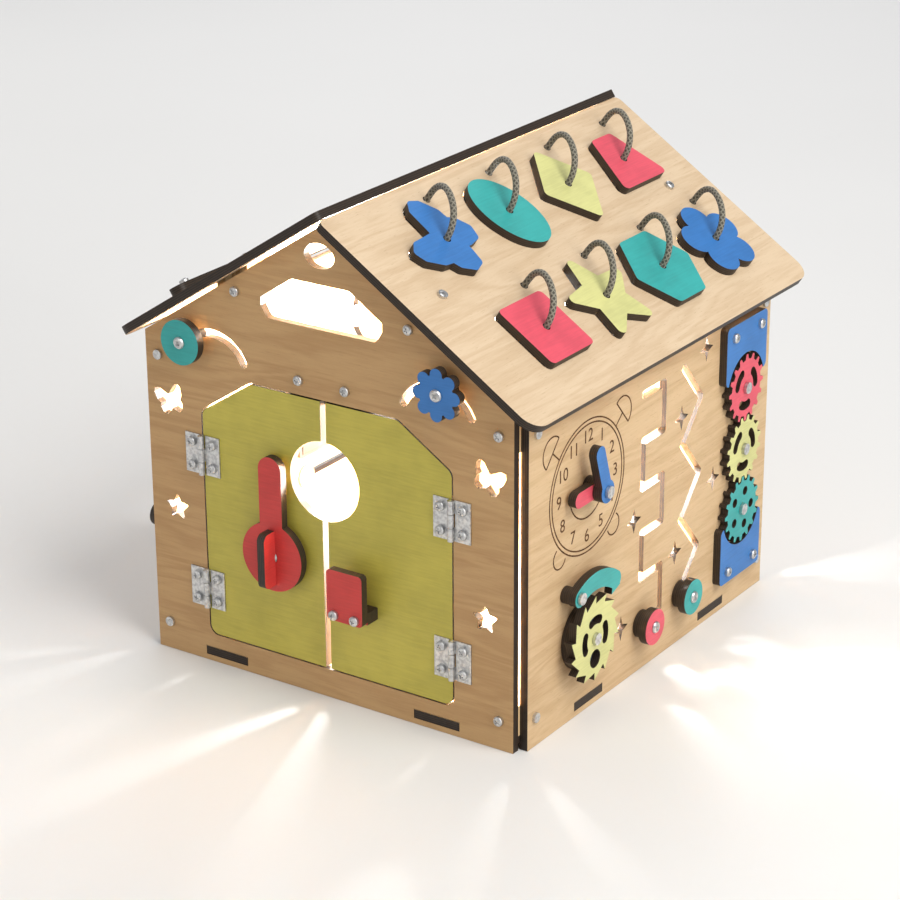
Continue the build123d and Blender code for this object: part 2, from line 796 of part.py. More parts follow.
def hinge_leaf_plate(side, level, away, knuckle_levels, bore_radius):
    """Add one hinge leaf: its plate beside the pin, and the knuckles that it carries round the pin."""
    axis = side * door_axis
    reach = away * side
    plate_middle = axis + reach * frame_leaf_middle
    with BuildSketch(front_face) as profile:
        with Locations((plate_middle, level)):
            Rectangle(hinge_leaf_width, hinge_height)
        for middle in knuckle_levels:
            with Locations((axis + reach * hinge_leaf_start / 2, level + middle)):
                Rectangle(hinge_leaf_start, knuckle - hinge_joint_gap)
        with Locations(*[(plate_middle, level + up * hinge_screw_spread) for up in (-1, 1)]):
            Circle(screw_hole, mode=Mode.SUBTRACT)
    extrude(profile.sketch, amount=hinge_leaf)
    for middle in knuckle_levels:
        pin_place = (axis, hinge_line, level + middle - (knuckle - hinge_joint_gap) / 2)
        with BuildSketch(Plane(origin=pin_place)) as profile:
            Circle(hinge_barrel_radius)
        extrude(profile.sketch, amount=knuckle - hinge_joint_gap)
        with BuildSketch(Plane(origin=pin_place)) as profile:
            Circle(bore_radius)
        extrude(profile.sketch, amount=knuckle - hinge_joint_gap, mode=Mode.SUBTRACT)


door_bore = hinge_pin_radius + hinge_pin_clearance
with BuildPart() as hinge_frame_leaves:
    for side in (-1, 1):
        for level in hinge_levels:
            hinge_leaf_plate(side, level, 1, (-knuckle, knuckle), door_bore)
save(hinge_frame_leaves, "hinge_frame_leaves")

with BuildPart() as hinge_pins:
    for level in hinge_levels:
        with BuildSketch(Plane.XY.offset(level - hinge_height / 2)):
            with Locations((-door_axis, hinge_line), (door_axis, hinge_line)):
                Circle(hinge_pin_radius)
        extrude(amount=hinge_height)
save(hinge_pins, "hinge_pins")

with BuildPart() as left_hinge_leaves:
    for level in hinge_levels:
        hinge_leaf_plate(-1, level, -1, (0,), door_bore)
save(left_hinge_leaves, "left_hinge_leaves")

with BuildPart() as right_hinge_leaves:
    for level in hinge_levels:
        hinge_leaf_plate(1, level, -1, (0,), door_bore)
save(right_hinge_leaves, "right_hinge_leaves")

# Latch on the left door, stored swung up, clear of the right door
latch_turn = radians(latch_rest_angle)
latch_face = Plane(origin=(latch_place[0], -gable_out, latch_place[1]),
                   x_dir=(cos(latch_turn), 0, sin(latch_turn)), z_dir=(0, -1, 0))
with BuildPart() as latch_arm:
    with BuildSketch(latch_face.offset(latch_stand_off)):
        Circle(latch_disc_radius)
        with Locations(((latch_arm_length - latch_arm_width / 2) / 2, 0)):
            SlotCenterToCenter(latch_arm_length - latch_arm_width / 2, latch_arm_width)
    extrude(amount=ply)
    with BuildSketch(latch_face.offset(knob_gap)):
        Circle(latch_boss_radius)
    extrude(amount=latch_stand_off - knob_gap)
    bore(latch_face.offset(latch_stand_off + ply), [(0, 0)], axle_hole, latch_stand_off + ply)
    with BuildSketch(latch_face.offset(latch_stand_off + ply - latch_grip_sink)):
        Rectangle(latch_grip_length, ply)
        Circle(axle_head_radius + knob_gap)
    extrude(amount=latch_grip_sink, mode=Mode.SUBTRACT)
save(latch_arm, "latch_arm")

latch_grip_base = latch_stand_off + ply - latch_grip_sink
latch_cap = latch_grip_base + axle_head_height + axle_gap
with BuildPart() as latch_grip:
    with BuildSketch(Plane(origin=latch_face.origin, x_dir=latch_face.x_dir, z_dir=-latch_face.y_dir)):
        with Locations((0, latch_grip_base + latch_grip_height / 2)):
            RectangleRounded(latch_grip_length, latch_grip_height, latch_grip_height / 3)
        with Locations((0, latch_grip_base + latch_grip_height / 4)):
            Rectangle(latch_grip_length, latch_grip_height / 2)
    extrude(amount=ply / 2, both=True)
    with BuildSketch(latch_face.offset(latch_grip_base)):
        Circle(axle_head_radius + knob_gap)
    extrude(amount=latch_cap - latch_grip_base + axle_gap, mode=Mode.SUBTRACT)
save(latch_grip, "latch_grip")

with BuildPart() as left_door_screws:
    screws(front_face.offset(hinge_leaf), door_leaf_screws[-1], hinge_leaf + ply)
    screws(front_face.offset(latch_grip_base + axle_gap), [latch_place], latch_grip_base + axle_gap + ply,
           screw_radius, axle_head_radius, axle_head_height)
save(left_door_screws, "left_door_screws")

# Keeper on the right door: a plate held off the door by a base along its lower edge
with BuildPart() as keeper_base:
    with BuildSketch(front_face):
        with Locations((keeper_middle, keeper_bottom + keeper_base_height / 2)):
            Rectangle(keeper_width, keeper_base_height)
        add(hole_pattern(keeper_screws, screw_hole), mode=Mode.SUBTRACT)
    extrude(amount=keeper_depth)
save(keeper_base, "keeper_base")

with BuildPart() as keeper_plate:
    with BuildSketch(front_face.offset(keeper_depth)):
        with Locations((keeper_middle, keeper_bottom + keeper_height / 2)):
            RectangleRounded(keeper_width, keeper_height, keeper_corner_radius)
        add(hole_pattern(keeper_screws, screw_hole), mode=Mode.SUBTRACT)
    extrude(amount=ply)
save(keeper_plate, "keeper_plate")

with BuildPart() as right_door_screws:
    screws(front_face.offset(hinge_leaf), door_leaf_screws[1], hinge_leaf + ply)
    screws(front_face.offset(keeper_depth + ply), keeper_screws, keeper_depth + 2 * ply)
save(right_door_screws, "right_door_screws")


# Knobs: a painted top on a smaller foot, held by a binding post that runs in the slot
def knob(face, place, outline):
    """Add a knob's foot and top over a slot."""
    with BuildSketch(face.offset(knob_gap)) as profile:
        with Locations(place):
            Circle(knob_foot_radius)
    extrude(profile.sketch, amount=ply)
    with BuildSketch(face.offset(knob_gap + ply)) as profile:
        add(outline.moved(Pos(*place)))
    extrude(profile.sketch, amount=ply)
    bore(face.offset(bolt_face), [place], post_bore_radius + screw_clearance, bolt_face)


def knob_post(face, place):
    """Add a binding post: its barrel and flange behind the wall, and the screw that closes it in front."""
    behind = ply + knob_gap + post_flange
    with BuildSketch(face.offset(-behind)) as profile:
        with Locations(place):
            Circle(post_flange_radius)
    extrude(profile.sketch, amount=post_flange)
    with BuildSketch(face.offset(-behind)) as profile:
        with Locations(place):
            Circle(post_radius)
    extrude(profile.sketch, amount=behind + knob_gap)
    bore(face.offset(knob_gap), [place], post_bore_radius + screw_clearance, behind)
    screws(face.offset(bolt_face), [place], bolt_face + ply, post_bore_radius, axle_head_radius,
           axle_head_height)


knobs = {
    "round_knob": (front_face, round_knob_place, disc(knob_radius)),
    "cog_knob": (front_face, cog_knob_place, cog()),
    "red_knob": (right_face, maze_points[-1], disc(maze_knob_radius)),
    "teal_knob": (right_face, zigzag_points[0], disc(maze_knob_radius)),
    "track_knob": (left_face, track_points[0], disc(knob_radius)),
    "arc_knob": (left_face, arc_knob_place, disc(knob_radius)),
}
for name, (face, place, outline) in knobs.items():
    with BuildPart() as top:
        knob(face, place, outline)
    save(top, name)
    with BuildPart() as post:
        knob_post(face, place)
    save(post, f"{name}_post")


# Clock hands: a ring on the axle and a rounded bar, the hour hand below the minute hand
def hand(height, length, angle, spacer):
    """Add a clock hand at a height above the wall, with a spacer ring below it."""
    turn = radians(angle)
    middle = (clock_place[0] + length / 2 * cos(turn), clock_place[1] + length / 2 * sin(turn))
    with BuildSketch(right_face.offset(height)) as profile:
        with Locations(clock_place):
            Circle(hand_ring_radius)
        with Locations(middle):
            SlotCenterToCenter(length, hand_width, rotation=angle)
    extrude(profile.sketch, amount=ply)
    with BuildSketch(right_face.offset(height - spacer)) as profile:
        with Locations(clock_place):
            Circle(hand_ring_radius)
    extrude(profile.sketch, amount=spacer)
    bore(right_face.offset(height + ply), [clock_place], axle_hole, ply + spacer)


hour_height = hand_gap + hand_spacer
minute_height = hour_height + ply + hand_gap + hand_spacer / 2
with BuildPart() as hour_hand:
    hand(hour_height, hour_hand_length, hour_hand_angle, hand_spacer)
save(hour_hand, "hour_hand")

with BuildPart() as minute_hand:
    hand(minute_height, minute_hand_length, minute_hand_angle, hand_spacer / 2)
save(minute_hand, "minute_hand")

# Gear train: a middle gear half a tooth out of step with its two neighbours
gear_tip = gear_pitch_radius + gear_addendum
gear_root = gear_pitch_radius - gear_dedendum
tooth_foot = gear_dedendum / 2
tooth = [(-tooth_foot, -gear_root_width / 2), (gear_tip - gear_root, -gear_tip_width / 2),
         (gear_tip - gear_root, gear_tip_width / 2), (-tooth_foot, gear_root_width / 2)]


def gear(turn, openings):
    """Outline of a gear turned by an angle, with openings about its axle."""
    with BuildSketch() as outline:
        Circle(gear_root)
        with PolarLocations(gear_root, gear_teeth, turn):
            Polygon(*tooth, align=None)
        for opening in openings:
            add(opening, mode=Mode.SUBTRACT)
        Circle(axle_hole, mode=Mode.SUBTRACT)
    return outline.sketch


half_tooth = 180 / gear_teeth
gear_slots = [slot_arc((0, 0), gear_window_radius, 360 / gear_windows * number, gear_window_sweep,
                       gear_window_width) for number in range(gear_windows)]
with BuildSketch() as gear_holes:
    with PolarLocations(gear_window_radius, gear_hole_count):
        Circle(gear_hole_radius)
gears = {"upper_gear": gear(0, gear_slots), "middle_gear": gear(half_tooth, gear_slots),
         "lower_gear": gear(0, [gear_holes.sketch])}
for (name, outline), place in zip(gears.items(), gear_places):
    with BuildPart() as wheel:
        with BuildSketch(right_face.offset(wheel_gap)):
            add(outline.moved(Pos(*place)))
        extrude(amount=ply)
    save(wheel, name)

with BuildPart() as gear_end_plates:
    with BuildSketch(right_face):
        for end in (-1, 1):
            with Locations((gear_line, gear_level + end * (end_plate_reach - end_plate_height / 2))):
                RectangleRounded(end_plate_width, end_plate_height, end_plate_radius)
        add(hole_pattern(gear_places, gear_tip + end_plate_clearance), mode=Mode.SUBTRACT)
        add(hole_pattern(end_plate_screws, screw_hole), mode=Mode.SUBTRACT)
    extrude(amount=ply)
save(gear_end_plates, "gear_end_plates")

# Ratchet: a saw-toothed wheel on a disc, and a pawl that hooks over it
ratchet_height = wheel_gap + ply
ratchet_windows = [slot_arc((0, 0), gear_window_radius, start, gear_window_sweep, gear_window_width)
                   for start in ratchet_window_angles]
ratchet_windows.append(disc(ratchet_finger_radius).moved(Pos(0, -ratchet_finger_reach)))
with BuildPart() as ratchet_wheel:
    with BuildSketch(right_face.offset(ratchet_height)):
        with Locations(ratchet_place):
            Polygon(*saw_points(ratchet_teeth, ratchet_radius, ratchet_root_radius, ratchet_turn), align=None)
            for window in ratchet_windows:
                add(window, mode=Mode.SUBTRACT)
            Circle(axle_hole, mode=Mode.SUBTRACT)
    extrude(amount=ply)
save(ratchet_wheel, "ratchet_wheel")

with BuildPart() as ratchet_disc:
    with BuildSketch(right_face.offset(wheel_gap)):
        with Locations(ratchet_place):
            Circle(ratchet_disc_radius)
            Circle(axle_hole, mode=Mode.SUBTRACT)
    extrude(amount=ply)
save(ratchet_disc, "ratchet_disc")

pawl_bar = slot_arc((0, 0), pawl_bar_radius, pawl_start + pawl_sweep, -pawl_sweep, pawl_bar_width)
claw_turn = radians(pawl_claw_angle)
claw_tip = ratchet_radius + pawl_claw_reach
claw = [(claw_tip * cos(claw_turn), claw_tip * sin(claw_turn)),
        (pawl_bar_radius * cos(claw_turn) + pawl_claw_width * sin(claw_turn),
         pawl_bar_radius * sin(claw_turn) - pawl_claw_width * cos(claw_turn)),
        (pawl_bar_radius * cos(claw_turn) - pawl_claw_width * sin(claw_turn),
         pawl_bar_radius * sin(claw_turn) + pawl_claw_width * cos(claw_turn))]
with BuildPart() as pawl:
    with BuildSketch(right_face.offset(ratchet_height)):
        with Locations(ratchet_place):
            add(pawl_bar)
            Polygon(*claw, align=None)
    extrude(amount=ply)
    with BuildSketch(right_face.offset(wheel_gap)):
        with Locations(pawl_place):
            Circle(pawl_boss_radius)
    extrude(amount=ply)
    bore(right_face.offset(ratchet_height + ply), [pawl_place], axle_hole, 2 * ply)
save(pawl, "pawl")

# Spinner on the left wall
with BuildPart() as spinner:
    with BuildSketch(left_face.offset(wheel_gap)):
        with Locations(spinner_place):
            Circle(hand_ring_radius)
    extrude(amount=ply)
    with BuildSketch(left_face.offset(wheel_gap + ply)):
        add(petals(spinner_petals, spinner_radius, spinner_petal_radius).moved(Pos(*spinner_place)))
    extrude(amount=ply)
    bore(left_face.offset(wheel_gap + 2 * ply), [spinner_place], axle_hole, 2 * ply)
save(spinner, "spinner")

# Axle screws, each with its head just clear of the piece that turns on it
with BuildPart() as axle_screws:
    for face, places, stack in ((right_face, gear_places, wheel_gap + ply),
                                (right_face, [clock_place], minute_height + ply),
                                (right_face, [ratchet_place, pawl_place], ratchet_height + ply),
                                (left_face, [spinner_place], wheel_gap + 2 * ply)):
        reach = stack + axle_gap
        screws(face.offset(reach), places, reach + ply + axle_nut_length, axle_radius, axle_head_radius,
               axle_head_height)
        with BuildSketch(face.offset(-ply)):
            with Locations(*places):
                RegularPolygon(axle_head_radius, 6)
        extrude(amount=-axle_nut_length)
save(axle_screws, "axle_screws")

# Sorter pieces: a cap on the roof and a plug in its hole, with a hole for the cord
for name, place in sorter_places.items():
    cap = sorter_outlines[name](0).moved(Pos(*place))
    plug_place = Pos(place[0] + sorter_shift[0], place[1] + sorter_shift[1])
    plug = sorter_outlines[name](-sorter_hole_inset - sorter_plug_clearance).moved(plug_place)
    with BuildPart() as piece:
        with BuildSketch(right_slope):
            add(cap)
        extrude(amount=ply)
        with BuildSketch(right_slope):
            add(plug)
        extrude(amount=-sorter_plug_depth)
        bore(right_slope.offset(ply), [place], cord_hole, 2 * ply)
    save(piece, name)


def bend_radii(points):
    """Radius of each bend of a cord: as large as its two runs allow."""
    radii = []
    for before, here, after in zip(points, points[1:], points[2:]):
        run_in = Vector(*here) - Vector(*before)
        run_out = Vector(*after) - Vector(*here)
        turn = radians(run_in.get_angle(run_out))
        radii.append(bend_share * min(run_in.length, run_out.length) / tan(turn / 2))
    return radii


def tube(plane, points, diameter):
    """Add a round cord along a route drawn on a plane."""
    radii = bend_radii(points)
    with BuildLine(plane) as route:
        FilletPolyline(*points, radius=radii)
    path = route.wire()
    with BuildSketch(Plane(origin=path @ 0, z_dir=path % 0)) as profile:
        Circle(diameter / 2)
    sweep(profile.sketch, path=path)
    return path.length, min(radii)


# Cords from the pieces to their anchor holes
cord_along = right_slope.x_dir * cos(heading) + right_slope.y_dir * sin(heading)
with BuildPart() as sorter_cords:
    for place in sorter_places.values():
        start = right_slope.from_local_coords((*place, 0))
        cord_plane = Plane(origin=start, x_dir=cord_along, z_dir=cord_along.cross(right_slope.z_dir))
        cord_length, cord_bend = tube(cord_plane, cord_route, cord_diameter)
print("sorter cord length", round(cord_length, 1), "least bend radius", round(cord_bend, 1))
save(sorter_cords, "sorter_cords")

# Light: a board with a lens, a battery box below it and the lead between them
inside_left = left_face.offset(-ply)
light_place = (wall_end - light_from_front, light_level)
with BuildPart() as light_board:
    with BuildSketch(inside_left):
        with Locations(light_place):
            Rectangle(light_board_width, light_board_height)
    extrude(amount=-light_board_thickness)
save(light_board, "light_board")

with BuildPart() as light_lens:
    with BuildSketch(inside_left.offset(-light_board_thickness)):
        with Locations(light_place):
            Circle(light_lens_radius)
    extrude(amount=-light_lens_height)
    fillet(light_lens.faces().sort_by(Axis.X)[-1].edges(), radius=light_lens_height / 2)
save(light_lens, "light_lens")

with BuildPart() as battery_box:
    with BuildSketch(inside_left):
        with Locations((light_place[0], battery_box_level)):
            RectangleRounded(battery_box_width, battery_box_height, battery_box_radius)
    extrude(amount=-battery_box_depth)
save(battery_box, "battery_box")

# Lead route on the wall's inner side: across from the light's middle, above the box's top edge
lead_route = [(14.0, 73.0), (14.0, 61.0), (9.0, 49.0), (5.0, 37.0), (9.0, 24.0), (14.0, 12.0), (14.0, 0.0)]
lead_rise = light_board_thickness + light_lead_diameter / 2
lead_start = (light_place[0], battery_box_level + battery_box_height / 2, -lead_rise)
lead_plane = Plane(origin=inside_left.from_local_coords(lead_start), x_dir=inside_left.x_dir,
                   z_dir=inside_left.z_dir)
with BuildPart() as light_lead:
    lead_length, lead_bend = tube(lead_plane, lead_route, light_lead_diameter)
print("light lead length", round(lead_length, 1), "least bend radius", round(lead_bend, 1))
save(light_lead, "light_lead")
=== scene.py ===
"""Looks of the plywood activity house: its finishes, cords, screw heads, engraved clock, light and camera."""

import json
import logging
import math
import random
from dataclasses import dataclass
from enum import Enum

import bmesh
import bpy
from mathutils import Matrix, Vector


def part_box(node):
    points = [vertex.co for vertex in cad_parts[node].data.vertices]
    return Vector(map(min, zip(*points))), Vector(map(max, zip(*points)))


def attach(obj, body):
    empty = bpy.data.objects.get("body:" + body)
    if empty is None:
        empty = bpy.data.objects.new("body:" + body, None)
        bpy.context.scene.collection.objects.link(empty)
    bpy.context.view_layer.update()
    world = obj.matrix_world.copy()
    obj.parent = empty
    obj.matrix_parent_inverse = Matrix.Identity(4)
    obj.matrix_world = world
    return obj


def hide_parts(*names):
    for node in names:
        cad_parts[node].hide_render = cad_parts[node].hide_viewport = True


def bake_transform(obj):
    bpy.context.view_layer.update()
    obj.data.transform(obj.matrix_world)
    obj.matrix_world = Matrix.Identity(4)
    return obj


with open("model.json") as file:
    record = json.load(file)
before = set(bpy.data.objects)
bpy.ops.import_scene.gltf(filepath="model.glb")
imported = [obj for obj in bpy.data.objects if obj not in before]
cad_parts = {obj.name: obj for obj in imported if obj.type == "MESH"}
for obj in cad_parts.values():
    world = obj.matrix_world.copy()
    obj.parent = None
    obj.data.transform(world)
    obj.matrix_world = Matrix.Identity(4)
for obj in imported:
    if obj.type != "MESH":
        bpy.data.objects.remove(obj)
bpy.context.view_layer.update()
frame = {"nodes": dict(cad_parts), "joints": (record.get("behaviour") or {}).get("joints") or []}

logging.basicConfig(level=logging.INFO, format="%(name)s: %(message)s")
log = logging.getLogger("activity_house")

Colour = tuple[float, float, float]
Point = tuple[float, float, float]
Step = tuple[float, float]

MILLIMETRE = 0.001
FULL_TURN = 2.0 * math.pi
TUBE_UV = "UVMap"
SHARP_ANGLE = math.radians(40.0)
MERGE_REACH = 1e-6


def mm(*sizes: float) -> tuple[float, ...]:
    """Turn sizes in millimetres to metres."""
    return tuple(size * MILLIMETRE for size in sizes)


def joint(name: str) -> dict:
    """Find a joint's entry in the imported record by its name."""
    return next(entry for entry in frame["joints"] if entry["name"] == name)


ROOF_NORMAL = Vector(joint("butterfly_lift")["axis"]).normalized()
ACROSS_HOUSE = Vector((1.0, 0.0, 0.0))
ALONG_HOUSE = Vector((0.0, 1.0, 0.0))
UP = Vector((0.0, 0.0, 1.0))


class Lie(Enum):
    """The way a sheet of plywood faces: the direction out of its good side."""

    FRONT = (0.0, -1.0, 0.0)
    BACK = (0.0, 1.0, 0.0)
    RIGHT = (1.0, 0.0, 0.0)
    LEFT = (-1.0, 0.0, 0.0)
    LEVEL = (0.0, 0.0, 1.0)
    RIGHT_SLOPE = (ROOF_NORMAL.x, 0.0, ROOF_NORMAL.z)
    LEFT_SLOPE = (-ROOF_NORMAL.x, 0.0, ROOF_NORMAL.z)

    @property
    def outward(self) -> Vector:
        """The direction out of the sheet's good side."""
        return Vector(self.value)

    @property
    def grain(self) -> Vector:
        """The direction that the grain of the face runs in."""
        return ACROSS_HOUSE if self.outward.y else ALONG_HOUSE

    @property
    def across(self) -> Vector:
        """The direction across the grain, in the sheet."""
        return self.outward.cross(self.grain)


SLIDERS = {
    "round": Lie.FRONT, "cog": Lie.FRONT, "red": Lie.RIGHT,
    "teal": Lie.RIGHT, "track": Lie.LEFT, "arc": Lie.LEFT,
}


# Shader building


class Wire:
    """A shader socket that Python expressions can work with."""

    def __init__(self, graph: "Graph", socket: bpy.types.NodeSocket) -> None:
        """Keep the graph that the socket belongs to."""
        self.graph = graph
        self.socket = socket

    def __add__(self, other: "Wire | float") -> "Wire":
        """Add a value."""
        return self.graph.math("ADD", self, other)

    def __radd__(self, other: float) -> "Wire":
        """Add to a number."""
        return self.graph.math("ADD", other, self)

    def __sub__(self, other: "Wire | float") -> "Wire":
        """Take a value away."""
        return self.graph.math("SUBTRACT", self, other)

    def __rsub__(self, other: float) -> "Wire":
        """Take this away from a number."""
        return self.graph.math("SUBTRACT", other, self)

    def __mul__(self, other: "Wire | float") -> "Wire":
        """Multiply by a value."""
        return self.graph.math("MULTIPLY", self, other)

    def __rmul__(self, other: float) -> "Wire":
        """Multiply a number by this."""
        return self.graph.math("MULTIPLY", other, self)

    def __abs__(self) -> "Wire":
        """Drop the sign."""
        return self.graph.math("ABSOLUTE", self)

    def wave(self) -> "Wire":
        """Sine of the value in radians, brought to between 0 and 1."""
        return self.graph.math("SINE", self) * 0.5 + 0.5

    def larger(self, other: "Wire | float") -> "Wire":
        """The larger of two values."""
        return self.graph.math("MAXIMUM", self, other)

    def rise(self, start: float, end: float) -> "Wire":
        """Smooth step from 0 at the start value to 1 at the end value."""
        return self.graph.node(
            "ShaderNodeMapRange",
            {"interpolation_type": "SMOOTHSTEP"},
            {"Value": self, "From Min": start, "From Max": end},
        )


class Graph:
    """A material's node tree and the few node-making methods that the finishes share."""

    MIX_FACTOR, MIX_FIRST, MIX_SECOND, MIXED_COLOUR = 0, 6, 7, 2

    def __init__(self, name: str) -> None:
        """Start a material with a plain Principled shader.

        Args:
            name: Name of the material.
        """
        self.material = bpy.data.materials.new(name)
        self.material.use_nodes = True
        self.tree = self.material.node_tree
        self.shader = self.tree.nodes["Principled BSDF"]
        self.place = self.node("ShaderNodeTexCoord", output="Object")

    def node(
        self,
        kind: str,
        settings: dict | None = None,
        sockets: dict | None = None,
        output: int | str = 0,
    ) -> Wire:
        """Add a node.

        Args:
            kind: The node's type.
            settings: Properties of the node, set before its sockets.
            sockets: Values or wires for its inputs, by name or number.
            output: Name or number of the output to use.

        Returns:
            The chosen output.
        """
        made = self.tree.nodes.new(kind)
        for name, value in (settings or {}).items():
            setattr(made, name, value)
        for name, value in (sockets or {}).items():
            if isinstance(value, Wire):
                self.tree.links.new(value.socket, made.inputs[name])
            else:
                made.inputs[name].default_value = value
        return Wire(self, made.outputs[output])

    def math(self, operation: str, first: "Wire | float", second: "Wire | float" = 0.0) -> Wire:
        """Add a Math node on one or two values."""
        return self.node("ShaderNodeMath", {"operation": operation}, {0: first, 1: second})

    def mix(self, factor: Wire, first: "Wire | Colour", second: "Wire | Colour") -> Wire:
        """Mix two colours.

        Args:
            factor: Share of the second colour.
            first: Colour at 0.
            second: Colour at 1.

        Returns:
            The mixed colour.
        """
        ends = [end if isinstance(end, Wire) else (*end, 1.0) for end in (first, second)]
        sockets = {self.MIX_FACTOR: factor, self.MIX_FIRST: ends[0], self.MIX_SECOND: ends[1]}
        return self.node("ShaderNodeMix", {"data_type": "RGBA"}, sockets, self.MIXED_COLOUR)

    def dot(self, vector: Wire, direction: Vector) -> Wire:
        """Length of a vector along a direction."""
        return self.node(
            "ShaderNodeVectorMath", {"operation": "DOT_PRODUCT"}, {0: vector, 1: direction}, "Value"
        )

    def along(self, direction: Vector) -> Wire:
        """Distance along a direction in Object coordinates, in metres."""
        return self.dot(self.place, direction)

    def facing(self, direction: Vector) -> Wire:
        """How far the surface faces a direction, from -1 to 1, in the object's own frame."""
        return self.dot(self.node("ShaderNodeTexCoord", output="Normal"), direction)

    def noise(self, vector: Wire, scale: float, detail: float, distortion: float = 0.0) -> Wire:
        """Noise on a vector: spots in each of its units, finer layers, and how much it is bent."""
        return self.node(
            "ShaderNodeTexNoise",
            None,
            {"Vector": vector, "Scale": scale, "Detail": detail, "Distortion": distortion},
        )

    def joined(self, x: Wire, y: Wire, z: "Wire | float" = 0.0) -> Wire:
        """Join values to a vector."""
        return self.node("ShaderNodeCombineXYZ", None, {"X": x, "Y": y, "Z": z})

    def bump(self, height: Wire, depth: float, strength: float) -> Wire:
        """Turn a height pattern from 0 to 1 to a normal, with its depth in metres and its share."""
        return self.node(
            "ShaderNodeBump", None, {"Strength": strength, "Distance": depth, "Height": height}
        )

    def dress(self, varying: dict[str, Wire], fixed: dict[str, float]) -> bpy.types.Material:
        """Feed the Principled shader.

        Args:
            varying: Wires for its sockets.
            fixed: Constant values for its sockets.

        Returns:
            The finished material.
        """
        for name, wire in varying.items():
            self.tree.links.new(wire.socket, self.shader.inputs[name])
        for name, value in fixed.items():
            self.shader.inputs[name].default_value = value
        return self.material


@dataclass(frozen=True)
class Spots:
    """An even noise pattern: its spots in a metre and its finer layers."""

    scale: float
    detail: float

    def draw(self, graph: Graph) -> Wire:
        """Draw the pattern in a material."""
        return graph.noise(graph.place, self.scale, self.detail)


@dataclass(frozen=True)
class Streaks:
    """A drawn-out noise pattern: its spots in a metre along each way, its finer layers and its bend."""

    scales: tuple[float, ...]
    detail: float
    bend: float = 0.0

    def draw(self, graph: Graph, ways: list[Wire]) -> Wire:
        """Draw the pattern on the distances along its ways."""
        spread = graph.joined(*(way * scale for way, scale in zip(ways, self.scales)))
        return graph.noise(spread, 1.0, self.detail, self.bend)


# Finishes


@dataclass(frozen=True)
class Plywood:
    """Bare birch plywood cut by laser: a pale face with grain, and burnt edges that show the layers."""

    name: str = "birch_ply"
    face: Colour = (0.61, 0.435, 0.250)
    figure: Colour = (0.49, 0.325, 0.170)
    fleck: Colour = (0.32, 0.19, 0.095)
    burnt: Colour = (0.042, 0.026, 0.016)
    glue_line: Colour = (0.014, 0.010, 0.007)
    layer: float = 1.5 * MILLIMETRE
    growth: Streaks = Streaks((5.0, 42.0, 42.0), 3.0, 0.7)
    ring_count: float = 34.0
    fibres: Streaks = Streaks((55.0, 820.0, 820.0), 2.0)
    pores: Streaks = Streaks((150.0, 2100.0, 2100.0), 1.0)
    clouds: Spots = Spots(9.0, 2.0)
    soot: Spots = Spots(260.0, 3.0)
    figure_step: Step = (0.25, 0.80)
    pore_step: Step = (0.64, 0.80)
    pore_share: float = 0.55
    layer_step: Step = (0.35, 0.85)
    sheet_step: Step = (0.55, 0.75)
    roughness: float = 0.44
    bump_depth: float = 0.12 * MILLIMETRE
    bump_strength: float = 0.35
    gloss: float = 0.35

    def grain(self, graph: Graph, lie: Lie) -> tuple[Wire, Wire]:
        """Draw the bare face.

        Args:
            graph: Material to draw in.
            lie: How the sheet faces.

        Returns:
            The colour of the face, and its fibres as a height.
        """
        ways = [graph.along(way) for way in (lie.grain, lie.across, lie.outward)]
        rings = (self.growth.draw(graph, ways) * self.ring_count).wave()
        fibre = self.fibres.draw(graph, ways)
        tone = rings * 0.22 + fibre * 0.38 + self.clouds.draw(graph) * 0.40
        wood = graph.mix(tone.rise(*self.figure_step), self.face, self.figure)
        pores = self.pores.draw(graph, ways).rise(*self.pore_step)
        return graph.mix(pores * self.pore_share, wood, self.fleck), fibre

    def edge(self, graph: Graph, lie: Lie) -> Wire:
        """Draw the burnt edge with its layers.

        Args:
            graph: Material to draw in.
            lie: How the sheet faces.

        Returns:
            The colour of the edge.
        """
        layers = (graph.along(lie.outward) * (FULL_TURN / self.layer)).wave()
        dark = layers * 0.6 + self.soot.draw(graph) * 0.6
        return graph.mix(dark.rise(*self.layer_step), self.burnt, self.glue_line)

    def surface(self, graph: Graph, lie: Lie, sheet: Wire) -> tuple[Wire, Wire, Wire]:
        """Draw the face and settle how rough and how uneven the sheet is.

        Args:
            graph: Material to draw in.
            lie: How the sheet faces.
            sheet: 1 on the faces and 0 on the cut edges.

        Returns:
            The colour of the face, the roughness and the height.
        """
        colour, fibre = self.grain(graph, lie)
        return colour, self.roughness + sheet * 0.12 + fibre * 0.10, fibre

    def material(self, lie: Lie) -> bpy.types.Material:
        """Make the material for a sheet that faces one way.

        Args:
            lie: How the sheet faces.

        Returns:
            The material.
        """
        graph = Graph(f"{self.name}_{lie.name.lower()}")
        sheet = abs(graph.facing(lie.outward)).rise(*self.sheet_step)
        face, roughness, height = self.surface(graph, lie, sheet)
        return graph.dress(
            {
                "Base Color": graph.mix(sheet, self.edge(graph, lie), face),
                "Roughness": roughness,
                "Normal": graph.bump(height, self.bump_depth, self.bump_strength),
            },
            {"Specular IOR Level": self.gloss},
        )


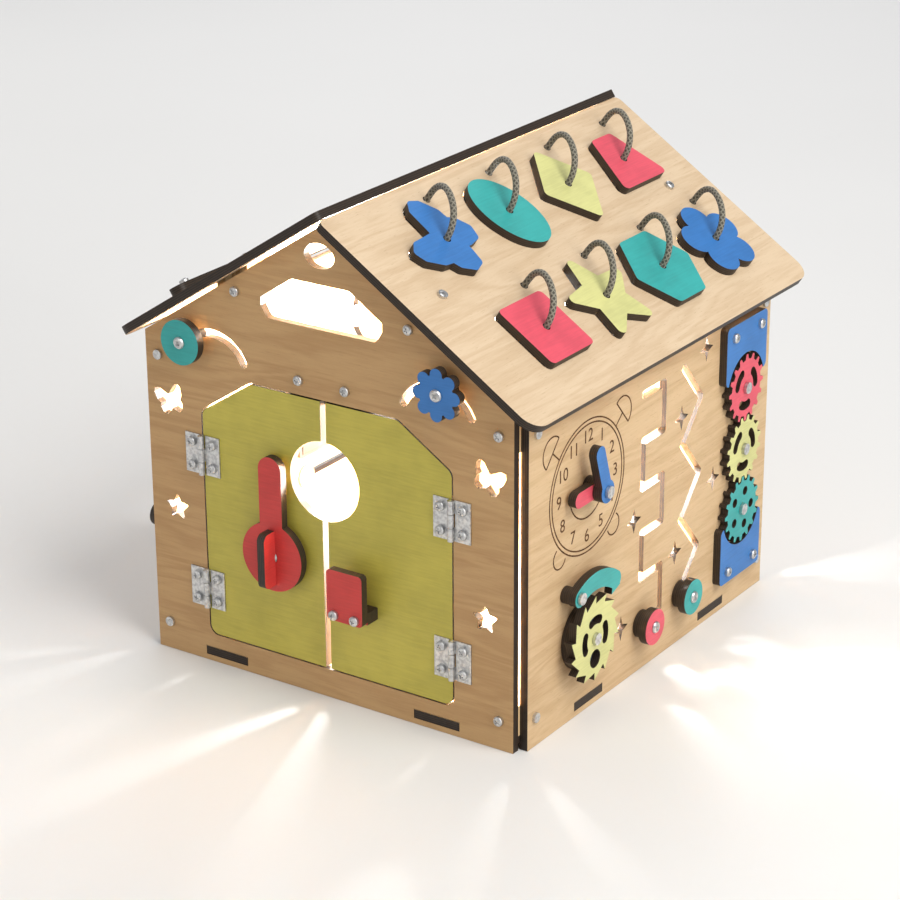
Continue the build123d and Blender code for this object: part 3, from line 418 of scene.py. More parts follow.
@dataclass(frozen=True)
class PaintedPlywood(Plywood):
    """Plywood with satin paint on its good side: the grain still shows faintly, and the cut edges are burnt."""

    name: str = "paint"
    roughness: float = 0.46
    bump_depth: float = 0.08 * MILLIMETRE
    bump_strength: float = 0.30
    gloss: float = 0.45
    paint: Colour = (0.5, 0.5, 0.5)
    deeper: float = 0.78
    worn: float = 0.10
    roller: Spots = Spots(1500.0, 2.0)
    mottle: Spots = Spots(38.0, 3.0)
    mottle_step: Step = (0.30, 0.75)
    worn_step: Step = (0.66, 0.78)
    good_side_step: Step = (0.45, 0.65)

    def surface(self, graph: Graph, lie: Lie, sheet: Wire) -> tuple[Wire, Wire, Wire]:
        """Draw the painted face and settle how rough and how uneven the sheet is.

        Args:
            graph: Material to draw in.
            lie: How the sheet faces.
            sheet: 1 on the faces and 0 on the cut edges.

        Returns:
            The colour of the face, the roughness and the height.
        """
        bare, fibre = self.grain(graph, lie)
        cloud = self.mottle.draw(graph)
        deeper = tuple(part * self.deeper for part in self.paint)
        mottled = (cloud * 0.6 + fibre * 0.4).rise(*self.mottle_step)
        rubbed = (fibre * 0.7 + cloud * 0.3).rise(*self.worn_step) * self.worn
        coat = graph.mix(rubbed, graph.mix(mottled, self.paint, deeper), bare)
        covered = graph.facing(lie.outward).rise(*self.good_side_step)
        roughness = self.roughness + sheet * 0.16 - covered * 0.22 + cloud * 0.10
        height = fibre * 0.6 + self.roller.draw(graph) * 0.4
        return graph.mix(covered, bare, coat), roughness, height


@dataclass(frozen=True)
class BlockWood:
    """Sawn pine of the blocks inside the corners."""

    name: str = "pine_block"
    early: Colour = (0.66, 0.46, 0.24)
    late: Colour = (0.45, 0.26, 0.11)
    warp: Streaks = Streaks((60.0, 60.0, 6.0), 3.0, 0.4)
    ring_count: float = 46.0
    late_step: Step = (0.35, 0.95)
    saw_marks: Streaks = Streaks((40.0, 40.0, 900.0), 1.0)
    saw_depth: float = 0.15 * MILLIMETRE

    def material(self) -> bpy.types.Material:
        """Make the material."""
        graph = Graph(self.name)
        ways = [graph.along(way) for way in (ACROSS_HOUSE, ALONG_HOUSE, UP)]
        rings = (self.warp.draw(graph, ways) * self.ring_count).wave()
        saw = self.saw_marks.draw(graph, ways)
        return graph.dress(
            {
                "Base Color": graph.mix(rings.rise(*self.late_step), self.early, self.late),
                "Roughness": 0.68 + saw * 0.16,
                "Normal": graph.bump(saw, self.saw_depth, 0.4),
            },
            {"Specular IOR Level": 0.3},
        )


@dataclass(frozen=True)
class ZincSteel:
    """Bright zinc-plated steel of the screws and hinges."""

    name: str = "zinc_steel"
    bright: Colour = (0.68, 0.68, 0.67)
    dull: Colour = (0.44, 0.44, 0.45)
    spangles: Spots = Spots(420.0, 3.0)
    dull_step: Step = (0.35, 0.70)
    rub_marks: Streaks = Streaks((3000.0, 90.0), 2.0)
    rub_depth: float = 0.02 * MILLIMETRE

    def material(self) -> bpy.types.Material:
        """Make the material."""
        graph = Graph(self.name)
        spangle = self.spangles.draw(graph)
        rubs = self.rub_marks.draw(graph, [graph.along(UP), graph.along(ALONG_HOUSE)])
        return graph.dress(
            {
                "Base Color": graph.mix(spangle.rise(*self.dull_step), self.bright, self.dull),
                "Roughness": 0.22 + spangle * 0.20 + rubs * 0.10,
                "Normal": graph.bump(rubs, self.rub_depth, 0.25),
            },
            {"Metallic": 1.0},
        )


@dataclass(frozen=True)
class BraidedCord:
    """Round braided cotton cord, drawn on the tube's own UV map, with painted shade in the grooves between its
    plaits.
    """

    name: str = "grey_cord"
    yarn: Colour = (0.255, 0.236, 0.185)
    # painted shade: the dark colour of the grooves between the plaits
    gap: Colour = (0.070, 0.064, 0.050)
    plaits: float = 20.0
    strands: float = 4.0
    fuzz: Spots = Spots(2600.0, 2.0)
    yarn_step: Step = (0.55, 1.05)
    braid_depth: float = 0.35 * MILLIMETRE

    def material(self) -> bpy.types.Material:
        """Make the material."""
        graph = Graph(self.name)
        sheet = graph.node("ShaderNodeUVMap", {"uv_map": TUBE_UV})
        run, turn = (
            graph.node("ShaderNodeSeparateXYZ", None, {0: sheet}, axis) * (FULL_TURN * count)
            for axis, count in (("X", self.plaits), ("Y", self.strands))
        )
        braid = (run + turn).wave().larger((run - turn).wave())
        fuzz = self.fuzz.draw(graph)
        # painted shade: the grooves between the plaits are mixed towards a much darker colour than the yarn
        shade = (braid * 0.8 + fuzz * 0.4).rise(*self.yarn_step)
        return graph.dress(
            {
                "Base Color": graph.mix(shade, self.gap, self.yarn),
                "Roughness": 0.74 + fuzz * 0.16,
                "Normal": graph.bump(braid * 0.8 + fuzz * 0.2, self.braid_depth, 0.7),
            },
            {"Sheen Weight": 0.15, "Specular IOR Level": 0.3},
        )


@dataclass(frozen=True)
class CircuitBoard:
    """Green lacquered circuit board with fine copper tracks under the lacquer."""

    name: str = "board_green"
    lacquer: Colour = (0.015, 0.16, 0.060)
    track: Colour = (0.040, 0.30, 0.110)
    row_pitch: float = 2.5 * MILLIMETRE
    row_step: Step = (0.80, 0.90)
    column_pitch: float = 7.5 * MILLIMETRE
    column_step: Step = (0.93, 0.98)
    blots: Spots = Spots(130.0, 1.0)
    blot_step: Step = (0.48, 0.52)
    track_depth: float = 0.04 * MILLIMETRE

    def material(self) -> bpy.types.Material:
        """Make the material."""
        graph = Graph(self.name)
        rows, columns = (
            (graph.along(way) * (FULL_TURN / pitch)).wave().rise(*step)
            for way, pitch, step in (
                (UP, self.row_pitch, self.row_step),
                (ALONG_HOUSE, self.column_pitch, self.column_step),
            )
        )
        tracks = rows.larger(columns) * self.blots.draw(graph).rise(*self.blot_step)
        return graph.dress(
            {
                "Base Color": graph.mix(tracks, self.lacquer, self.track),
                "Roughness": 0.28 + tracks * 0.1,
                "Normal": graph.bump(tracks, self.track_depth, 0.5),
            },
            {},
        )


@dataclass(frozen=True)
class Speckled:
    """A finish of one colour with rougher specks of a second one, and a bump or a glow where it has one."""

    name: str
    base: Colour
    speck: Colour
    specks: Spots
    step: Step | None
    roughness: float
    rougher: float
    gloss: float = 0.5
    texture: Spots | None = None
    texture_depth: float = 0.0
    texture_strength: float = 0.0
    glow: float = 0.0

    def material(self) -> bpy.types.Material:
        """Make the material."""
        graph = Graph(self.name)
        specks = self.specks.draw(graph)
        share = specks if self.step is None else specks.rise(*self.step)
        colour = graph.mix(share, self.base, self.speck)
        varying = {"Base Color": colour, "Roughness": self.roughness + specks * self.rougher}
        fixed = {"Specular IOR Level": self.gloss}
        if self.texture is not None:
            height = self.texture.draw(graph)
            varying["Normal"] = graph.bump(height, self.texture_depth, self.texture_strength)
        if self.glow:
            varying["Emission Color"] = colour
            fixed["Emission Strength"] = self.glow
        return graph.dress(varying, fixed)


@dataclass(frozen=True)
class LeadSleeve(Speckled):
    """Soft plastic sleeve of the light's lead, with scuffs."""

    name: str = "lead_sleeve"
    base: Colour = (0.55, 0.54, 0.52)
    speck: Colour = (0.38, 0.37, 0.36)
    specks: Spots = Spots(340.0, 3.0)
    step: Step | None = (0.45, 0.75)
    roughness: float = 0.38
    rougher: float = 0.20


@dataclass(frozen=True)
class LampLens(Speckled):
    """Milky lens of the inner light, lit from behind."""

    name: str = "lamp_lens"
    base: Colour = (0.95, 0.96, 1.0)
    speck: Colour = (0.70, 0.76, 0.86)
    specks: Spots = Spots(160.0, 2.0)
    step: Step | None = (0.35, 0.75)
    roughness: float = 0.30
    rougher: float = 0.15
    glow: float = 12.0


@dataclass(frozen=True)
class MouldedPlastic(Speckled):
    """Black moulded plastic with a fine spark texture and a haze of dust."""

    name: str = "black_plastic"
    base: Colour = (0.022, 0.022, 0.024)
    speck: Colour = (0.060, 0.060, 0.062)
    specks: Spots = Spots(45.0, 3.0)
    step: Step | None = (0.45, 0.80)
    roughness: float = 0.45
    rougher: float = 0.20
    texture: Spots | None = Spots(1800.0, 2.0)
    texture_depth: float = 0.06 * MILLIMETRE
    texture_strength: float = 0.4


@dataclass(frozen=True)
class SolderedPart(Speckled):
    """Small part of the inner light, with a gritty moulded body."""

    specks: Spots = Spots(900.0, 2.0)
    step: Step | None = (0.50, 0.75)
    roughness: float = 0.35
    rougher: float = 0.25
    texture: Spots | None = Spots(900.0, 2.0)
    texture_depth: float = 0.03 * MILLIMETRE
    texture_strength: float = 0.3


@dataclass(frozen=True)
class BurntLine(Speckled):
    """Brown line that the laser has drawn on the plywood, with soot."""

    name: str = "burnt_line"
    base: Colour = (0.135, 0.062, 0.026)
    speck: Colour = (0.050, 0.022, 0.010)
    specks: Spots = Spots(420.0, 3.0)
    step: Step | None = (0.35, 0.70)
    roughness: float = 0.78
    rougher: float = 0.15
    gloss: float = 0.2


@dataclass(frozen=True)
class FloorPaint(Speckled):
    """Plain pale studio floor, faintly clouded."""

    name: str = "studio_floor"
    base: Colour = (0.78, 0.77, 0.75)
    speck: Colour = (0.74, 0.73, 0.71)
    specks: Spots = Spots(2.0, 2.0)
    step: Step | None = None
    roughness: float = 0.55
    rougher: float = 0.10
    gloss: float = 0.3


# Mesh helpers


def add_object(name: str, data: bpy.types.ID) -> bpy.types.Object:
    """Put a new object in the scene, at the origin.

    Args:
        name: Name of the object.
        data: Its mesh, curve, lamp or camera.

    Returns:
        The object.
    """
    made = bpy.data.objects.new(name, data)
    bpy.context.scene.collection.objects.link(made)
    return made


def dress_data(data: bpy.types.Mesh, material: bpy.types.Material) -> None:
    """Give a mesh one finish."""
    data.materials.clear()
    data.materials.append(material)


def dress_node(node: str, material: bpy.types.Material) -> None:
    """Give a node of the frame a finish."""
    dress_data(frame["nodes"][node].data, material)


def piece(name: str, mesh: bpy.types.Mesh, material: bpy.types.Material) -> bpy.types.Object:
    """Put a mesh that is already in place in the scene as a piece with a finish."""
    dress_data(mesh, material)
    return add_object(name, mesh)


def mesh_from(work: bmesh.types.BMesh, name: str) -> bpy.types.Mesh:
    """Turn a finished bmesh to a mesh, with its faces pointing outwards.

    Args:
        work: The bmesh, which is freed.
        name: Name of the mesh.

    Returns:
        The mesh.
    """
    bmesh.ops.recalc_face_normals(work, faces=work.faces)
    mesh = bpy.data.meshes.new(name)
    work.to_mesh(mesh)
    work.free()
    mesh.shade_smooth()
    mesh.set_sharp_from_angle(angle=SHARP_ANGLE)
    return mesh


def rigid_piece(
    name: str, work: bmesh.types.BMesh, material: bpy.types.Material, body: str
) -> bpy.types.Object:
    """Put a finished bmesh on a body as a piece.

    Args:
        name: Name of the piece.
        work: Its bmesh, which is freed.
        material: Its finish.
        body: The body that carries it.

    Returns:
        The new object.
    """
    made = piece(name, mesh_from(work, name), material)
    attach(made, body)
    log.info("%s of %d faces on %s", name, len(made.data.polygons), body)
    return made


def mesh_of(data: bpy.types.Curve) -> bpy.types.Mesh:
    """Make the mesh of a curve or a text and drop the curve.

    Args:
        data: The curve or text, which is removed.

    Returns:
        The mesh.
    """
    holder = add_object(data.name, data)
    graph = bpy.context.evaluated_depsgraph_get()
    mesh = bpy.data.meshes.new_from_object(holder.evaluated_get(graph))
    bpy.data.objects.remove(holder)
    bpy.data.curves.remove(data)
    return mesh


def merged_copy(mesh: bpy.types.Mesh) -> bmesh.types.BMesh:
    """Copy a mesh to a new bmesh and merge its doubles.

    Args:
        mesh: The mesh, which stays as it is.

    Returns:
        The bmesh.
    """
    work = bmesh.new()
    work.from_mesh(mesh)
    bmesh.ops.remove_doubles(work, verts=work.verts, dist=MERGE_REACH)
    return work


def vertices_of(made: dict[str, list]) -> list[bmesh.types.BMVert]:
    """The vertices among what an extrusion has made."""
    return [item for item in made["geom"] if isinstance(item, bmesh.types.BMVert)]


def edges_of(made: dict[str, list]) -> list[bmesh.types.BMEdge]:
    """The edges among what an extrusion has made."""
    return [item for item in made["geom"] if isinstance(item, bmesh.types.BMEdge)]


def frame_at(origin: Vector, outward: Vector, level: Vector) -> Matrix:
    """Build the frame of a drawing on a face.

    Args:
        origin: Its middle.
        outward: Direction out of the face.
        level: Direction of the drawing's own x.

    Returns:
        The matrix from the drawing to the row frame.
    """
    up = outward.cross(level).normalized()
    turned = Matrix((level.normalized(), up, outward.normalized())).transposed()
    return Matrix.Translation(origin) @ turned.to_4x4()


# Sub-assemblies


@dataclass
class Sheets:
    """The plywood pieces, bare and paint-coated, by the way they face; a darker copy of the bare plywood is
    painted shade on the front and back walls, and a paler one is painted light on the roof.
    """

    bare: Plywood = Plywood()
    # painted shade: the front and back walls get a darker, warmer copy of the bare plywood for the shade they
    # stand in
    warm: Plywood = Plywood("painted_shade_ply", face=(0.53, 0.330, 0.152), figure=(0.43, 0.250, 0.108))
    # painted light: the roof gets a paler copy of the bare plywood for the light that falls on it from above
    pale: Plywood = Plywood("painted_light_ply", face=(0.65, 0.500, 0.335), figure=(0.545, 0.395, 0.245))
    mustard: Plywood = PaintedPlywood("mustard_paint", paint=(0.535, 0.455, 0.072))
    red: Plywood = PaintedPlywood("red_paint", paint=(0.60, 0.045, 0.040))
    pink: Plywood = PaintedPlywood("pink_paint", paint=(0.72, 0.085, 0.125))
    teal: Plywood = PaintedPlywood("teal_paint", paint=(0.033, 0.37, 0.35))
    blue: Plywood = PaintedPlywood("blue_paint", paint=(0.034, 0.175, 0.48))
    lime: Plywood = PaintedPlywood("lime_paint", paint=(0.62, 0.61, 0.245))
    navy: Plywood = PaintedPlywood("navy_paint", paint=(0.018, 0.032, 0.085))

    def groups(self) -> list[tuple[Plywood, Lie, tuple[str, ...]]]:
        """List the finish, the lie and the nodes of each group of sheets."""
        return [
            # painted shade: the darker, warmer plywood copy on the front and back walls
            (self.warm, Lie.FRONT, ("front_wall", "door_stop")),
            (self.warm, Lie.BACK, ("back_wall",)),
            (self.bare, Lie.RIGHT, ("right_wall",)),
            (self.bare, Lie.LEFT, ("left_wall",)),
            (self.bare, Lie.LEVEL, ("floor_panel",)),
            # painted light: the paler plywood copy on both roof slopes
            (self.pale, Lie.RIGHT_SLOPE, ("right_roof",)),
            (self.pale, Lie.LEFT_SLOPE, ("left_roof", "roof_slat")),
            (self.mustard, Lie.FRONT, ("left_door", "right_door")),
            (self.red, Lie.FRONT, ("latch_arm", "keeper_base", "keeper_plate")),
            (self.red, Lie.RIGHT, ("latch_grip",)),
            (self.teal, Lie.FRONT, ("round_knob",)),
            (self.blue, Lie.FRONT, ("cog_knob",)),
            (self.pink, Lie.RIGHT, ("red_knob", "hour_hand", "upper_gear")),
            (self.teal, Lie.RIGHT, ("teal_knob", "lower_gear", "pawl")),
            (self.lime, Lie.RIGHT, ("middle_gear", "ratchet_wheel")),
            (self.blue, Lie.RIGHT, ("minute_hand", "gear_end_plates")),
            (self.navy, Lie.RIGHT, ("ratchet_disc",)),
            (self.blue, Lie.LEFT, ("track_knob",)),
            (self.red, Lie.LEFT, ("arc_knob",)),
            (self.pink, Lie.LEFT, ("spinner",)),
            (self.blue, Lie.RIGHT_SLOPE, ("piece_butterfly", "piece_flower")),
            (self.teal, Lie.RIGHT_SLOPE, ("piece_oval", "piece_hexagon")),
            (self.lime, Lie.RIGHT_SLOPE, ("piece_rhombus", "piece_star")),
            (self.pink, Lie.RIGHT_SLOPE, ("piece_trapezoid", "piece_square")),
        ]

    def dress(self) -> None:
        """Give every plywood node its finish."""
        for finish, lie, nodes in self.groups():
            material = finish.material(lie)
            for node in nodes:
                dress_node(node, material)
            log.info("%s on %s", material.name, ", ".join(nodes))


@dataclass
class Fittings:
    """The metal, the blocks and the inner light's parts, which keep the frame's shapes."""

    steel_nodes: tuple[str, ...] = (
        "wall_screws", "axle_screws", "left_door_screws", "right_door_screws",
        "hinge_frame_leaves", "hinge_pins", "left_hinge_leaves", "right_hinge_leaves",
    )
    block_nodes: tuple[str, ...] = ("corner_blocks", "roof_blocks")

    def dress(self) -> bpy.types.Material:
        """Give the nodes their finishes.

        Returns:
            The steel, which the screw heads share.
        """
        metal = ZincSteel().material()
        for node in (*self.steel_nodes, *(f"{name}_knob_post" for name in SLIDERS)):
            dress_node(node, metal)
        pine = BlockWood().material()
        for node in self.block_nodes:
            dress_node(node, pine)
        dress_node("light_board", CircuitBoard().material())
        dress_node("light_lens", LampLens().material())
        dress_node("battery_box", MouldedPlastic().material())
        return metal


@dataclass
class ScrewHeads:
    """Domed tops with a cross recess, one on each screw head of the frame."""

    metal: bpy.types.Material
    segments: int = 16
    rings: tuple[tuple[float, float], ...] = ((0.985, 0.0), (0.90, 0.17), (0.68, 0.27))
    recess_reach: float = 0.52
    recess_half_width: float = 0.12
    recess_top: float = 0.30
    recess_floor: float = 0.05
    same_normal: float = 0.999
    smallest_ratio: float = 1.5
    seed: int = 5

    def seats(self, node: str, outward: Vector | None) -> list[tuple[Vector, Vector, float]]:
        """Find the screw heads in a node, in the order of its faces.

        Args:
            node: Name of a node made of separate screws.
            outward: Only heads that face this way count, where it is given.

        Returns:
            The middle, the direction and the radius of each head.
        """
        work = merged_copy(frame["nodes"][node].data)
        found = []
        seen = set()
        for first in work.faces:
            if first in seen:
                continue
            seen.add(first)
            island = [first]
            for face in island:
                for near in (other for vertex in face.verts for other in vertex.link_faces):
                    if near not in seen:
                        seen.add(near)
                        island.append(near)
            seat = self.head_of(island, outward)
            if seat is not None:
                found.append(seat)
        work.free()
        return found

    def head_of(
        self, island: list[bmesh.types.BMFace], outward: Vector | None
    ) -> tuple[Vector, Vector, float] | None:
        """Find the head of one screw: its larger flat end.

        Args:
            island: The screw's faces.
            outward: Direction that the head has to face, or None.

        Returns:
            The head's middle, direction and radius, or None for a nut or a barrel.
        """
        directions: list[tuple[Vector, list[bmesh.types.BMFace]]] = []
        for face in island:
            face.normal_update()
            for direction, group in directions:
                if direction.dot(face.normal) > self.same_normal:
                    group.append(face)
                    break
            else:
                directions.append((face.normal.copy(), [face]))
        ends = []
        for direction, group in directions:
            far = max(direction.dot(face.verts[0].co) for face in group) - MERGE_REACH
            top = [face for face in group if direction.dot(face.verts[0].co) > far]
            ends.append((sum(face.calc_area() for face in top), direction, top))
        ends.sort(key=lambda end: end[0], reverse=True)
        area, direction, top = ends[0]
        opposite = [end[0] for end in ends if end[1].dot(direction) < -self.same_normal]
        if not opposite or area < self.smallest_ratio * opposite[0]:
            return None
        if outward is not None and direction.dot(outward) < self.same_normal:
            return None
        middle = sum((face.calc_center_median() * face.calc_area() for face in top), Vector()) / area
        return middle, direction, math.sqrt(area / math.pi)

    def add_head(self, work: bmesh.types.BMesh, place: Matrix) -> None:
        """Add one domed head of radius 1 to a bmesh.

        Args:
            work: The bmesh.
            place: Where it goes and how large it is.
        """
        radius, level = self.rings[0]
        made = bmesh.ops.create_circle(
            work, cap_ends=True, segments=self.segments, radius=radius,
            matrix=Matrix.Translation((0, 0, level)),
        )
        corners = list(made["verts"])
        loop = list({edge for vertex in corners for edge in vertex.link_edges})
        for next_radius, next_level in self.rings[1:]:
            grown = bmesh.ops.extrude_edge_only(work, edges=loop)
            ring, loop = vertices_of(grown), edges_of(grown)
            share = next_radius / radius
            bmesh.ops.scale(work, vec=(share, share, 1.0), verts=ring)
            bmesh.ops.translate(work, vec=(0.0, 0.0, next_level - level), verts=ring)
            corners.extend(ring)
            radius, level = next_radius, next_level
        outline = [work.verts.new((x, y, self.recess_top)) for x, y in self.cross()]
        sides = [work.edges.new(pair) for pair in zip(outline, outline[1:] + outline[:1])]
        bmesh.ops.bridge_loops(work, edges=loop + sides)
        grown = bmesh.ops.extrude_edge_only(work, edges=sides)
        floor, rim = vertices_of(grown), edges_of(grown)
        bmesh.ops.translate(work, vec=(0.0, 0.0, self.recess_floor - self.recess_top), verts=floor)
        bmesh.ops.contextual_create(work, geom=rim)
        bmesh.ops.transform(work, matrix=place, verts=corners + outline + floor)

    def cross(self) -> list[tuple[float, float]]:
        """Draw the outline of the recess.

        Returns:
            The corners of the cross in order.
        """
        reach, half = self.recess_reach, self.recess_half_width
        arm = [(reach, -half), (reach, half), (half, half)]
        turns = [(1, 0), (0, 1), (-1, 0), (0, -1)]
        return [(x * c - y * s, x * s + y * c) for c, s in turns for x, y in arm]

    def build(self, name: str, nodes: tuple[str, ...], body: str, outward: Vector | None = None) -> None:
        """Make the heads of some nodes as one piece on a body.

        Args:
            name: Name of the piece.
            nodes: The nodes with the screws.
            body: The body that carries them.
            outward: Only heads that face this way count, where it is given.
        """
        turns = random.Random(self.seed)
        work = bmesh.new()
        for node in nodes:
            for middle, direction, radius in self.seats(node, outward):
                turned = Matrix.Rotation(turns.uniform(0.0, math.pi), 4, "Z")
                place = frame_at(middle, direction, direction.orthogonal())
                self.add_head(work, place @ turned @ Matrix.Scale(radius, 4))
        rigid_piece(name, work, self.metal, body)

    def build_post(self, name: str, outward: Vector) -> None:
        """Make a slider's binding post with a domed head, no higher than the frame's flat one.

        Args:
            name: Name of the slider.
            outward: Direction that the head faces.
        """
        node = f"{name}_knob_post"
        middle, direction, radius = self.seats(node, outward)[0]
        lowered = direction * (radius * self.recess_top)
        work = merged_copy(frame["nodes"][node].data)
        top = [vertex for vertex in work.verts if direction.dot(vertex.co - middle) > -MERGE_REACH]
        bmesh.ops.translate(work, vec=-lowered, verts=top)
        place = frame_at(middle - lowered, direction, direction.orthogonal())
        self.add_head(work, place @ Matrix.Scale(radius, 4))
        made = rigid_piece(f"{name}_post", work, self.metal, f"{name}_slider")
        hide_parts(node)

    def build_all(self) -> None:
        """Make the heads of every body."""
        self.build("house_screw_heads", ("wall_screws", "axle_screws"), "house")
        for door in ("left_door", "right_door"):
            self.build(f"{door}_screw_heads", (f"{door}_screws",), door, Lie.FRONT.outward)
        for name, lie in SLIDERS.items():
            self.build_post(name, lie.outward)


@dataclass
class RoundCord:
    """A round cord on a smooth route: its tube and the points of its middle line."""

    diameter: float
    resolution: int = 10
    rounding: int = 3
    order: int = 3

    def curve_mesh(self, name: str, points: list[Vector], bevel: float) -> bpy.types.Mesh:
        """Make the mesh of a spline with a route's points as its control points.

        Args:
            name: Name of the mesh.
            points: The control points, in the row frame.
            bevel: Radius of the tube, or 0 for the bare line.

        Returns:
            The mesh.
        """
        data = bpy.data.curves.new(name, "CURVE")
        data.dimensions = "3D"
        data.resolution_u = self.resolution
        data.bevel_depth = bevel
        data.bevel_resolution = self.rounding
        data.use_fill_caps = bevel > 0.0
        spline = data.splines.new("NURBS")
        spline.points.add(len(points) - 1)
        for control, point in zip(spline.points, points):
            control.co = (*point, 1.0)
        spline.order_u = self.order
        spline.use_endpoint_u = True
        return mesh_of(data)

    def tube(self, name: str, points: list[Vector]) -> bpy.types.Mesh:
        """Make the cord's closed tube.

        Args:
            name: Name of the mesh.
            points: The control points, in the row frame.

        Returns:
            The mesh.
        """
        mesh = self.curve_mesh(name, points, self.diameter / 2.0)
        work = merged_copy(mesh)
        work.to_mesh(mesh)
        work.free()
        return mesh

    def middle_line(self, name: str, points: list[Vector]) -> list[Vector]:
        """Follow the middle of the cord.

        Args:
            name: Name of the cord.
            points: The control points, in the row frame.

        Returns:
            Points along its middle line, from its first end.
        """
        bare = self.curve_mesh(name, points, 0.0)
        line = [vertex.co.copy() for vertex in bare.vertices]
        bpy.data.meshes.remove(bare)
        return line


@dataclass
class SorterCords:
    """The eight cords that tie the sorter pieces to the roof."""

    first_column: float = -98.15 * MILLIMETRE
    pitch: float = 75.3 * MILLIMETRE
    rows: tuple[float, float] = (59.5 * MILLIMETRE, 147.5 * MILLIMETRE)
    row_shift: float = 2.8 * MILLIMETRE
    heading: float = math.radians(55.0)
    diameter: float = 4.5 * MILLIMETRE
    length: float = 80.5 * MILLIMETRE
    shapes: tuple[tuple[str, ...], ...] = (
        ("butterfly", "oval", "rhombus", "trapezoid"),
        ("square", "star", "hexagon", "flower"),
    )
    route: tuple[tuple[float, float], ...] = (
        (0.0, -3.0), (0.0, 5.5), (1.8, 14.0), (8.0, 20.6), (17.0, 23.6),
        (27.0, 23.6), (36.0, 20.6), (42.2, 14.0), (44.0, 5.5), (44.0, -3.0),
    )

    def build(self) -> None:
        finish = BraidedCord().material()
        cord = RoundCord(self.diameter)
        roof = frame["nodes"]["right_roof"].data
        top = max(ROOF_NORMAL.dot(vertex.co) for vertex in roof.vertices)
        apex = Vector((0.0, 0.0, top / ROOF_NORMAL.z))
        up_slope = ROOF_NORMAL.cross(ALONG_HOUSE)
        ahead = ALONG_HOUSE * math.cos(self.heading) + up_slope * math.sin(self.heading)
        for row, shapes in enumerate(self.shapes):
            shift = self.row_shift * (2 * row - 1)
            for column, shape in enumerate(shapes):
                across = self.first_column + self.pitch * column + shift
                start = apex + ALONG_HOUSE * across - up_slope * self.rows[row]
                points = [
                    start + ahead * (run * MILLIMETRE) + ROOF_NORMAL * (rise * MILLIMETRE)
                    for run, rise in self.route
                ]
                name = f"{shape}_cord"
                line = cord.middle_line(name, points)
                made = piece(name, cord.tube(name, points), finish)
                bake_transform(made)
                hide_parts("sorter_cords")
                log.info("%s at %s", name, [round(part, 4) for part in start])


@dataclass
class LightLead:
    """The lead from the battery box up to the inner light."""

    name: str = "light_lead_tube"
    diameter: float = 2.4 * MILLIMETRE
    length: float = 75.6 * MILLIMETRE
    route: tuple[tuple[float, float], ...] = (
        (14.0, 73.0), (14.0, 61.0), (9.0, 49.0), (5.0, 37.0),
        (9.0, 24.0), (14.0, 12.0), (14.0, 0.0),
    )

    def build(self) -> None:
        low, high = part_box("battery_box")
        lead_low, lead_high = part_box("light_lead")
        middle = (low.y + high.y) / 2.0
        depth = (lead_low.x + lead_high.x) / 2.0
        points = [
            Vector((depth, middle - run * MILLIMETRE, high.z + rise * MILLIMETRE))
            for run, rise in self.route
        ]
        cord = RoundCord(self.diameter)
        line = cord.middle_line(self.name, points)
        made = piece(self.name, cord.tube(self.name, points), LeadSleeve().material())
        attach(made, "house")
        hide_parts("light_lead")
        log.info("%s of %.1f mm", self.name, self.length / MILLIMETRE)


